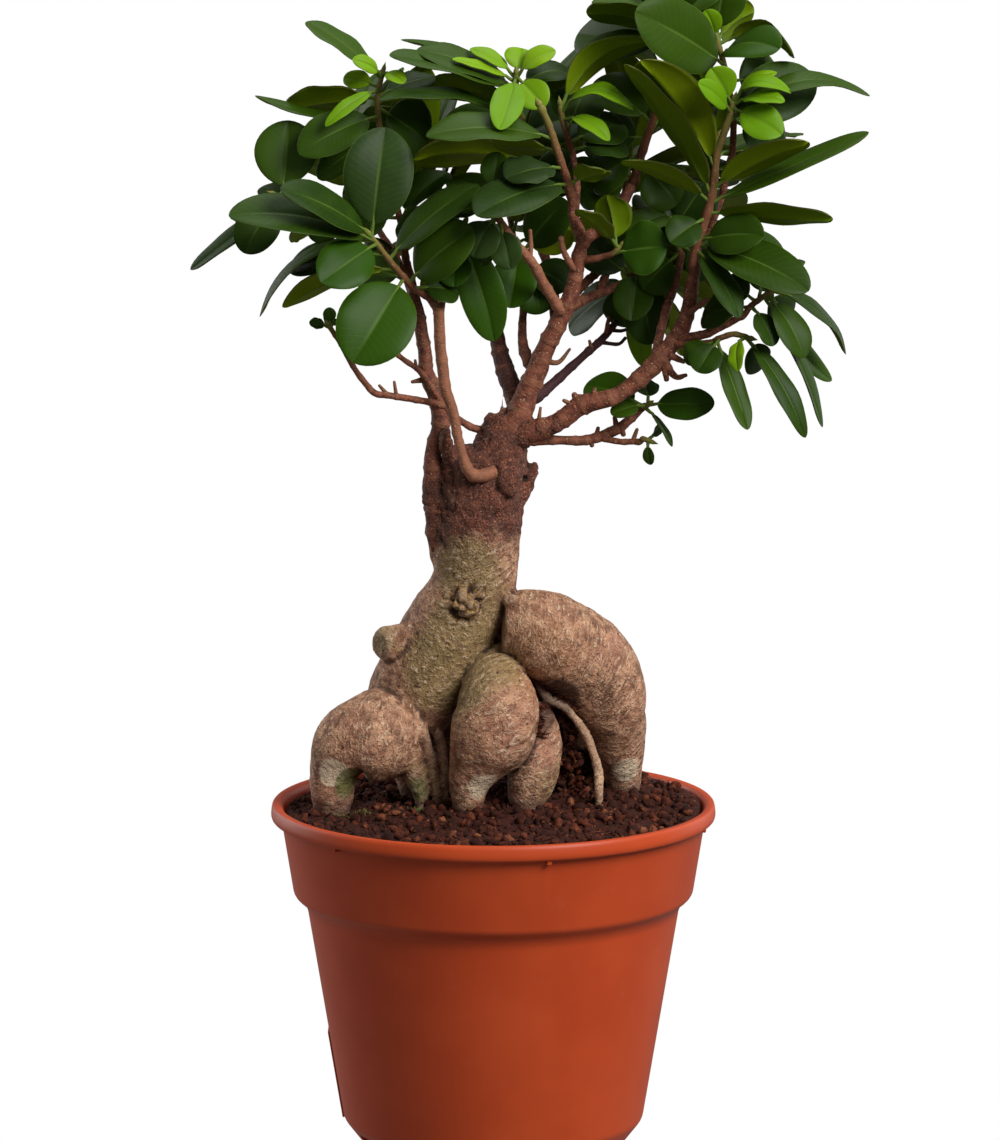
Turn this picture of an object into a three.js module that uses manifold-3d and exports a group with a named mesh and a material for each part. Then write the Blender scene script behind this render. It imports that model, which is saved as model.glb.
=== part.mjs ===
// A ficus ginseng bonsai in its nursery pot, in millimetres, with +Z up.
// The origin is the middle of the pot's underside, and the front of the tree looks along -Y.
import * as THREE from "three";
import { mergeVertices } from "three/addons/utils/BufferGeometryUtils.js";
import Module from "manifold-3d";

const wasm = await Module();
wasm.setup();

// Driving dimensions
const RIM_RADIUS = 60;
const POT_HEIGHT = 92;
const SOIL_CLEARANCE = 0.35;
const ROOT_CLEARANCE = 0.4;
const LEAF_CLEARANCE = 0.4;
const LEAF_RISE = 0.4;
const LEAF_FALL = 0.8;
const PETIOLE_LENGTH = 3.2;
const PETIOLE_HALF = 0.8;
const PETIOLE_ROOT = 0.7;
const TWIG_GAP = 0.35;

// The tree is laid out as it is seen from the front: across, up and depth.
// The eye is well in front of the tree and above it, and looks slightly down.
const EYE = new THREE.Vector3(1.8, -1579, 413);

// A place seen at (across, up) on the plane through the trunk, carried back along the sight line
function seen(across, up, depth) {
  const onPlane = new THREE.Vector3(across, 0, up);
  return onPlane.sub(EYE).multiplyScalar(1 + depth / -EYE.y).add(EYE);
}

// Skin over rings of points that run anticlockwise about the path. An end is flat, or a single point.
function skin(rings) {
  const positions = [];
  const starts = [];
  for (const ring of rings) {
    starts.push(positions.length / 3);
    for (const p of ring) positions.push(p.x, p.y, p.z);
  }
  const index = [];
  for (let i = 0; i + 1 < rings.length; i++) {
    const sides = Math.max(rings[i].length, rings[i + 1].length);
    const root = rings[i].length === 1;
    const tip = rings[i + 1].length === 1;
    for (let j = 0; j < sides; j++) {
      const k = (j + 1) % sides;
      const [a, b] = [starts[i] + j, starts[i] + k];
      const [c, d] = [starts[i + 1] + k, starts[i + 1] + j];
      if (root) index.push(starts[i], c, d);
      else if (tip) index.push(a, b, starts[i + 1]);
      else index.push(a, b, c, a, c, d);
    }
  }
  for (let j = 1; j + 1 < rings[0].length; j++) index.push(0, j + 1, j);
  const last = starts.at(-1);
  for (let j = 1; j + 1 < rings.at(-1).length; j++) index.push(last, last + j, last + j + 1);
  const geometry = new THREE.BufferGeometry();
  geometry.setAttribute("position", new THREE.Float32BufferAttribute(positions, 3));
  geometry.setIndex(index);
  return geometry;
}

function solid(geometry) {
  const bare = geometry.clone();
  for (const name of Object.keys(bare.attributes)) {
    if (name !== "position") bare.deleteAttribute(name);
  }
  const merged = mergeVertices(bare, 1e-4);
  return new wasm.Manifold(new wasm.Mesh({
    numProp: 3,
    vertProperties: new Float32Array(merged.attributes.position.array),
    triVerts: new Uint32Array(merged.index.array),
  }));
}

function join(solids) {
  return solids.reduce((whole, piece) => whole.add(piece));
}

// The body itself, without slivers that leaves shut in between them
function largest(body) {
  return body.decompose().reduce((best, piece) => (piece.volume() > best.volume() ? piece : best));
}

function node(name, body, { colour, roughness }) {
  const mesh = body.getMesh();
  const geometry = new THREE.BufferGeometry();
  geometry.setAttribute("position", new THREE.BufferAttribute(mesh.vertProperties, 3));
  geometry.setIndex(new THREE.BufferAttribute(mesh.triVerts, 1));
  const look = new THREE.MeshStandardMaterial({ color: colour, roughness, metalness: 0 });
  const part = new THREE.Mesh(geometry, look);
  part.name = name;
  return part;
}

// Pot: a thin tapered wall with a deeper band under a turned-over lip
const POT_OUTSIDE = [
  [0, 0], [36.5, 0], [40.6, 5.3], [50.2, 63.2], [51.2, 65.2],
  [53.9, 67.4], [57.2, 88], [59.5, 87.7], [RIM_RADIUS, 88.9], [59.6, POT_HEIGHT], [57.7, POT_HEIGHT],
];
const POT_INSIDE = [
  [56.7, 91], [52.3, 68.2], [49.8, 66.2], [48.8, 64.2], [39.5, 6], [36.2, 1.2], [0, 1.2],
];
const POT_SEGMENTS = 36;
const LUGS = { count: 6, first: -75.5, width: 1.2, drop: 1.4, reach: 2.6, radius: 57.6, top: 88.1 };
const NOTCHES = { count: 10, first: 209, width: 9, height: 3.4, depth: 7, radius: 40.2 };
const SIDE_RIB = { size: [1.6, 7, 24], radius: 42.1, middle: 17.2, lean: Math.atan2(9.6, 57.9) };

function radialBox(size, radius, height, degrees) {
  const box = new THREE.BoxGeometry(...size);
  box.translate(radius, 0, height);
  box.rotateZ(THREE.MathUtils.degToRad(degrees));
  return solid(box);
}

function lathe(profile, segments) {
  const points = profile.map(([radius, height]) => new THREE.Vector2(radius, height));
  return solid(new THREE.LatheGeometry(points, segments).rotateX(Math.PI / 2));
}

function makePot() {
  let pot = lathe([...POT_OUTSIDE, ...POT_INSIDE], POT_SEGMENTS);
  for (let i = 0; i < LUGS.count; i++) {
    const at = LUGS.first + (360 / LUGS.count) * i;
    const lug = [LUGS.reach, LUGS.width, LUGS.drop];
    pot = pot.add(radialBox(lug, LUGS.radius, LUGS.top - LUGS.drop / 2, at));
  }
  for (let i = 0; i < NOTCHES.count; i++) {
    const at = NOTCHES.first + (360 / NOTCHES.count) * i;
    const cut = [NOTCHES.depth, NOTCHES.width, NOTCHES.height * 2];
    pot = pot.subtract(radialBox(cut, NOTCHES.radius, 0, at));
  }
  const rib = new THREE.BoxGeometry(...SIDE_RIB.size);
  rib.rotateY(SIDE_RIB.lean);
  rib.translate(SIDE_RIB.radius, 0, SIDE_RIB.middle);
  rib.rotateZ(Math.PI);
  return pot.add(solid(rib));
}

// Soil: fills the pot and heaps a little towards the middle and the back right
const SOIL = {
  base: 90, radius: 56, heap: 3.2, backRight: 1.6, grain: 0.4, around: 22, edge: [55.4, 87],
  rings: [55.5, 44, 28],
};

function soilHeight(x, y) {
  const out = Math.hypot(x, y) / SOIL.radius;
  const heap = SOIL.heap * (1 - out * out);
  const side = SOIL.backRight * THREE.MathUtils.smoothstep(x + y, 5, 60);
  const grain = Math.sin(x * 0.9 + 1.3) * Math.sin(y * 0.8 + 0.4) + Math.sin(x * 0.37 - y * 0.5);
  return SOIL.base + heap + side + SOIL.grain * grain * (1 - out ** 6);
}

function makeSoil(rootHoles) {
  const circle = (radius, height) => Array.from({ length: SOIL.around }, (_, j) => {
    const turn = (j / SOIL.around) * 2 * Math.PI;
    const [x, y] = [radius * Math.cos(turn), radius * Math.sin(turn)];
    return new THREE.Vector3(x, y, height ?? soilHeight(x, y));
  });
  const wall = POT_INSIDE.slice(1, -1).reverse().map(([radius, height]) => {
    const onFloor = height < POT_OUTSIDE[2][1];
    return circle(radius - SOIL_CLEARANCE, height + (onFloor ? SOIL_CLEARANCE : 0));
  });
  const top = SOIL.rings.map((radius) => circle(radius));
  const peak = [new THREE.Vector3(0, 0, soilHeight(0, 0))];
  return solid(skin([...wall, circle(...SOIL.edge), ...top, peak])).subtract(rootHoles);
}

// A round section carried along a path of centres, with a radius at each
function tube(centres, radii, sides) {
  const last = centres.length - 1;
  let side = new THREE.Vector3(0.31, 0.9, 0.27);
  const rings = centres.map((centre, i) => {
    const before = centres[Math.max(i - 1, 0)];
    const along = centres[Math.min(i + 1, last)].clone().sub(before).normalize();
    side = side.clone().addScaledVector(along, -side.dot(along)).normalize();
    const other = along.clone().cross(side);
    return Array.from({ length: sides }, (_, j) => {
      const turn = (j / sides) * 2 * Math.PI;
      return centre.clone()
        .addScaledVector(side, radii[i] * Math.cos(turn))
        .addScaledVector(other, radii[i] * Math.sin(turn));
    });
  });
  return solid(skin(rings));
}

// A grown limb: a tube through places seen from the front, [across, up, depth, radius]
function limb(stations, sides, swell = 0) {
  const centres = stations.map(([across, up, depth]) => seen(across, up, depth));
  const radii = stations.map(([, , , radius]) => radius + swell);
  return tube(centres, radii, sides);
}

// Trunk and swollen roots, thickest first: each row is a place and its radius
const SWOLLEN = {
  trunk: [
    [-3.2, 188.4, 0, 5], [-3.4, 186.8, 0, 8.8], [-3.4, 184.4, 0, 10.4], [-4.2, 177, 0, 12.1],
    [-4.7, 168, 0, 12.3], [-4.8, 160, 0, 11.8], [-4.9, 154, 0, 11.2], [-6.8, 148, 0, 11.1],
    [-10.4, 141, 0, 11.9], [-15.8, 131, 1, 12.9], [-21.2, 121, 3, 12.4], [-23, 111, 5, 9.5],
    [-21, 100, 7, 5.5], [-20, 84, 8, 2.5],
  ],
  neck: [[1, 182, -1, 8.6], [2.2, 190, -1, 6.8], [3.6, 196.4, 0, 5.2]],
  rightRoot: [
    [2.8, 140.2, -5.4, 7.2], [8.4, 139.8, -5, 10.2], [15.6, 136.8, -4, 12], [23.6, 131.4, -1, 12.2],
    [29, 123, 3, 11.5], [31.8, 114, 7, 9.4], [33.8, 105, 10, 7.2], [34.9, 97, 12, 5.2],
    [35, 85, 12, 3.4],
  ],
  frontRoot: [
    [3, 133.6, -3, 3.2], [1.6, 129.4, -5, 5.6], [0.8, 124.8, -9.5, 8.4], [1, 120, -12.8, 10.4],
    [1.2, 115, -14.5, 11.3], [-0.9, 109, -15.3, 10.9], [-4.4, 102, -15, 7.8],
    [-6.6, 95.5, -15, 5.2], [-7, 85, -15, 2.8],
  ],
  innerRoot: [
    [12, 119, -4, 3.5], [11.6, 112, -6, 6.3], [11.3, 105, -8, 7], [10.2, 98, -9, 6.6],
    [9, 91.5, -10, 4.6], [8.5, 84, -10, 2.6],
  ],
  leftRoot: [
    [-20, 112, -2, 7], [-27.6, 110.6, -5, 11.8], [-34.6, 108.8, -8, 12], [-40, 106.4, -9, 9.6],
    [-42.8, 101, -9, 6.9], [-43.5, 95, -9, 5.9], [-43.5, 85, -8, 4.2],
  ],
  backLeftRoot: [
    [-9, 140, 5, 7], [-12, 132, 12, 10], [-13, 122, 20, 11], [-13, 112, 26, 8.6],
    [-11, 103, 30, 5.6], [-10, 94, 32, 3.6], [-10, 84, 32, 2.2],
  ],
  backRightRoot: [
    [5, 141, 6, 6.5], [10, 134, 14, 9.6], [15, 124, 21, 10.4], [19, 113, 25, 8],
    [21, 104, 27, 5.2], [21, 95, 28, 3.4], [21, 84, 28, 2],
  ],
};

// Thin roots, cut stubs, knots and scars on the swollen wood
const SMALL_WOOD = {
  leftFoot: [
    [-26, 110, -8, 7], [-23.3, 104, -9, 5], [-21, 98.5, -10, 2.9], [-19.3, 92, -10, 1.9],
    [-19, 84, -10, 1.2],
  ],
  rightString: [
    [11, 130, -4, 1.6], [14, 121, -7, 1.3], [20, 117, -7.4, 1.1], [25, 110, -6, 1.1],
    [27.8, 102, -6, 1.3], [28.4, 95, -8, 1.4], [28.2, 84, -9, 1],
  ],
  cleftStringLeft: [
    [-24, 120, -9, 1.2], [-19.5, 111, -10, 1.6], [-16.5, 102, -9, 1.3], [-15.4, 93, -9, 1.2],
    [-15, 84, -9, 1],
  ],
  cleftStringRight: [
    [-16, 116, -1, 1.6], [-13.6, 104, -7, 1.2], [-13.2, 94, -8, 1.2], [-13, 84, -8, 1],
  ],
  ridge: [[-13, 119.5, -4.5, 1.3], [-8, 124.5, -5.4, 1.5], [-2.5, 130.4, -6.5, 1.5]],
  cutStub: [[-23, 136, -3, 5], [-28, 135.2, -4.5, 4.8], [-30.2, 134.8, -5.6, 4.2], [-30.8, 134.7, -6, 3]],
  knot: [[-7.6, 145.6, -9, 3.6], [-7.6, 145.6, -12.4, 3.2], [-7.5, 145.6, -13.6, 2]],
  rootScar: [[6, 146, -7, 2.6], [4, 147.2, -9.8, 1.6]],
  rightSnag: [[4, 171, 0, 2], [8.3, 177, 0, 2.3], [10.5, 181, 0, 1.9], [11.5, 184.8, 0, 1.2]],
  driedBract: [[-11.4, 182.6, -5.6, 1.2], [-12.6, 190, -6.5, 1.7], [-12.2, 194.4, -6, 0.5]],
  neckKnob: [[1.5, 194, -2, 2.2], [-2, 196.9, -2, 1.6]],
  neckLump: [[3, 184, -6, 4], [3.8, 178.6, -9, 3.4], [4.4, 175.6, -9.6, 1.6]],
  deadStick: [[1.8, 195, -2, 0.7], [2.6, 202.7, -2, 0.35]],
};

// Branches: the last place of each is where a leafy shoot may start
const BRANCHES = {
  left: [
    [-14.3, 158, -2, 2.4], [-15.4, 170, -4, 3.1], [-15.9, 180, -4, 2.8], [-16, 188.5, -3, 2],
    [-14, 195, -3, 2.4], [-14.8, 201, -2, 2.3], [-17.6, 208, -1, 2], [-18.3, 214, 0, 1.9],
    [-19.6, 222, 1, 1.7], [-21.3, 230, 3, 1.4], [-23, 238, 6, 1.1],
  ],
  frontLeft: [
    [0, 181.5, -10, 2], [-4.2, 180.9, -13, 1.8], [-6.8, 183, -13.6, 1.5], [-8.4, 187.5, -13, 1.3],
    [-9.8, 193, -12.5, 1.3], [-11, 199, -12, 1.4], [-12.8, 206, -12, 1.5], [-13.8, 213, -12, 1.5],
    [-14.2, 220, -12, 1.5], [-14.6, 225, -12.3, 1.4], [-16.4, 227.6, -12.8, 1.1],
  ],
  frontLeftFork: [[-14.3, 223, -12, 1.1], [-13, 231, -8, 1], [-11.5, 238, -5, 0.9]],
  thinLeft: [
    [2, 192.4, 0, 1.6], [-2.5, 193, -1, 1.2], [-6, 194, -2, 1], [-10, 196.6, -3, 0.9],
    [-13, 199.6, -3.5, 0.9], [-16, 204, -3.5, 0.9], [-19.5, 208.6, -3, 0.8], [-24, 212, -3, 0.75],
    [-27.5, 215, -3, 0.7],
  ],
  outerLeft: [
    [-11.5, 199, -3.4, 0.9], [-16, 200.4, -5, 0.9], [-22, 201.4, -8, 0.9], [-28, 202.4, -10, 0.9],
    [-31.5, 202.8, -11, 0.9], [-34, 205.2, -12, 0.8], [-37, 209.5, -12, 0.75], [-40, 215, -12, 0.65],
  ],
  farLeft: [[-22.6, 235, 5, 0.9], [-30, 242, 2, 0.9], [-40, 248, -2, 0.8], [-48, 252.4, -4, 0.8]],
  backFarLeft: [[-20.6, 226, 2, 1.1], [-24, 236, 12, 1], [-30, 246, 24, 0.9]],
  main: [
    [4, 190, -2, 4.4], [7, 198, -2, 3.4], [10.2, 206, -2, 2.9], [13, 213, -2, 2.6],
    [16.8, 220.5, -3, 2.4], [19.8, 227, -4, 2.2], [22.4, 236, -5, 1.9], [24.3, 243.5, -6, 1.7],
    [29.5, 247.5, -3, 1.5], [33.5, 252.5, 1, 1.4], [36.5, 258, 5, 1.3],
  ],
  middle: [[24, 242, -6, 1.6], [21.7, 250, -9, 1.4], [20.9, 254.6, -10.6, 1.2]],
  arched: [[21.6, 250, -9, 1.1], [22.4, 258, -6, 0.9], [21.2, 266, -4.6, 0.8]],
  fork: [[23, 238.6, -5, 1.2], [27.2, 239, -7.6, 0.9], [30, 239.8, -9, 0.8]],
  darkLeft: [
    [7.4, 198, 3, 3], [4.4, 206, 7, 2.5], [2, 213, 11, 2.3], [0.9, 220, 15, 1.9],
    [-1.2, 229, 19, 1.4], [-6, 238, 23, 1.2],
  ],
  backLow: [[0.9, 219, 15, 1.3], [3, 229, 25, 1.1], [5, 238, 36, 1]],
  slim: [
    [11.6, 208, -1, 2], [8.5, 214, 3.4, 1.5], [7.9, 221, 5, 1.1], [8.5, 228, 6, 1], [9, 234, 7, 0.8],
  ],
  crossing: [
    [18.4, 224.5, -5, 1.6], [14, 231.5, -8, 1.4], [10.2, 238, -11, 1.3], [6, 243, -13, 1.2],
    [3.4, 246.6, -14, 1.1],
  ],
  crossingSpur: [[9.8, 238, -11, 0.7], [10, 243, -11, 0.6], [9.8, 246.5, -11, 0.5]],
  innerSpur: [[21.8, 236, -6, 0.9], [18.8, 240.5, -8, 0.8], [18, 244.5, -9, 0.7]],
  backMiddle: [[16.9, 220, -3, 1.9], [16, 230, 10, 1.5], [13, 242, 20, 1.3], [10, 251, 28, 1.1]],
  top: [[13.4, 240, 19, 1.1], [11, 250, 16, 1], [9, 258, 13, 0.9]],
  right: [
    [7, 191.6, -3, 3.4], [13, 193.4, -5, 2.7], [18.5, 196, -6, 2.5], [24, 199.7, -7, 2.6],
    [30, 201.2, -8, 2.3], [35.5, 204, -8, 2.2], [40.5, 208.2, -8, 2.4], [45.5, 213.4, -8, 2.5],
    [49.4, 218.5, -8, 2.3], [51.6, 224.5, -9, 2], [52.6, 230, -9.4, 1.8], [53.3, 234.5, -9.8, 1.5],
  ],
  lowRight: [
    [8, 190.4, -4, 1.7], [15, 190.2, -3, 1.3], [22, 190.2, -2, 1.3], [28, 191.2, -1, 1.4],
    [33, 193.4, -1, 1.4], [37, 196.4, -1, 1.2], [39.2, 198.4, -1, 0.9],
  ],
  lowestRight: [[28, 191, -1, 0.9], [33, 190, -2, 0.8], [37.6, 189.9, -3, 0.8]],
  darkRight: [
    [9.6, 201, -0.6, 2], [14, 204, 3, 1.5], [19, 208.4, 7, 1.2], [25, 213.7, 10, 1.1],
    [29.5, 218.2, 12, 1], [32.6, 221.8, 13, 0.9],
  ],
  darkRightSpur: [
    [28, 216.8, 12, 0.7], [31, 216.3, 12, 0.5], [33.6, 216.2, 12, 0.5], [35.2, 217.8, 12, 0.4],
  ],
  darkRightTwig: [[31, 220, 12.5, 0.7], [34, 219.7, 12, 0.5], [36.6, 220.5, 12, 0.45]],
  frontRight: [
    [49.6, 217.4, -9, 1.4], [55, 218.4, -12, 1.2], [61, 220.9, -14, 1], [65.5, 223.3, -16, 0.9],
  ],
  hanging: [[48.6, 216.4, -9, 1.2], [53, 216, -12, 0.9], [57, 216.6, -14, 0.8]],
  inner: [
    [43.2, 211.5, -6, 1.5], [44.2, 218, -3, 1.2], [46, 225, 0, 1.2], [48, 231, 2, 1.1],
    [49.6, 238, 4, 0.9],
  ],
  middleRight: [[20.4, 226, -2, 1.7], [25, 228.3, 2, 1.3], [30, 230.3, 6, 1.2], [35, 232.6, 10, 1]],
  backInner: [[28, 229.6, 4, 1.2], [31, 238, 17, 1.1], [33, 247, 28, 1]],
  backRight: [[50.9, 223, -9, 1.5], [53, 234, 6, 1.3], [54, 244, 18, 1.2], [56, 252, 27, 1.1]],
  backFork: [[20.4, 228.6, -3, 1.5], [25, 233, 12, 1.2], [30, 237, 26, 1]],
  topRight: [[55, 241, 14, 1], [60, 254, 12, 0.9], [63, 266, 10, 0.9]],
  sideTwig: [[51.4, 223.8, -10, 0.9], [54, 226, -13, 0.8], [57, 228.2, -15, 0.6]],
};

// Bud spurs along the bare branches
const SPURS = [
  [[-25.8, 201.8, -9, 0.6], [-26.4, 206, -9, 0.4]],
  [[-28, 202.3, -10, 0.7], [-30.4, 205, -10, 0.4]],
  [[-20.4, 209, -3, 0.6], [-20.8, 211.8, -3, 0.4]],
  [[-17.4, 206.8, -1.2, 0.9], [-21.6, 206, -3, 0.5]],
  [[12, 194.4, -5, 0.8], [12.6, 199, -5, 0.4]],
  [[22.8, 200.2, -7, 1.4], [21.6, 202.6, -7, 0.8]],
  [[22.5, 199.2, -7, 0.8], [18.8, 201, -7, 0.5]],
  [[26.6, 201.2, -8, 1], [27, 204, -8, 0.6]],
  [[14.5, 211.4, -2, 0.8], [17.5, 211.3, -2, 0.6], [20.4, 214.8, -2, 0.4]],
  [[26.3, 214.6, 10, 0.6], [25.6, 217, 10, 0.4]],
  [[30, 219, 12, 0.7], [30.8, 223.4, 12, 0.5]],
  [[27.4, 191.2, -1, 0.8], [28, 193.6, -1, 0.5]],
  [[26, 190.6, -1.5, 0.9], [26.4, 188.8, -1.5, 0.6]],
  [[33, 193.4, -1, 1], [32.4, 196.4, -1, 0.6]],
  [[34, 194, -1, 1], [34.8, 191.8, -1, 0.7]],
  [[37.2, 189.9, -2.8, 0.7], [38.4, 193.2, -2.6, 0.5]],
  [[45.4, 211.6, -9, 1.3], [48.6, 207.4, -10, 0.8], [51.4, 207.8, -10.5, 0.5]],
  [[46.6, 213.4, -9.4, 1.1], [50.8, 211.4, -10, 0.6]],
  [[45.4, 212, -9.4, 1.2], [46.2, 206.6, -9.6, 0.7]],
];

const ROUND_SIDES = 8;
const BRANCH_SIDES = 5;
const FINE_SIDES = 4;
const SPUR_SIDES = 3;

function makeTrunk() {
  const swollen = Object.values(SWOLLEN).map((rows) => limb(rows, ROUND_SIDES));
  const small = Object.values(SMALL_WOOD).map((rows) => limb(rows, BRANCH_SIDES));
  const branches = Object.values(BRANCHES).map((rows) => {
    return limb(rows, rows[0][3] > 2 ? BRANCH_SIDES : FINE_SIDES);
  });
  const spurs = SPURS.map((rows) => limb(rows, SPUR_SIDES));
  return [...swollen, ...small, ...branches, ...spurs];
}

// What the soil leaves free round the roots
function makeRootHoles() {
  const roots = { ...SWOLLEN, ...SMALL_WOOD };
  const inSoil = Object.entries(roots).filter(([, rows]) => rows.at(-1)[1] < POT_HEIGHT);
  return join(inSoil.map(([name, rows]) => {
    return limb(rows, name in SWOLLEN ? ROUND_SIDES : BRANCH_SIDES, ROOT_CLEARANCE);
  }));
}

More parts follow.
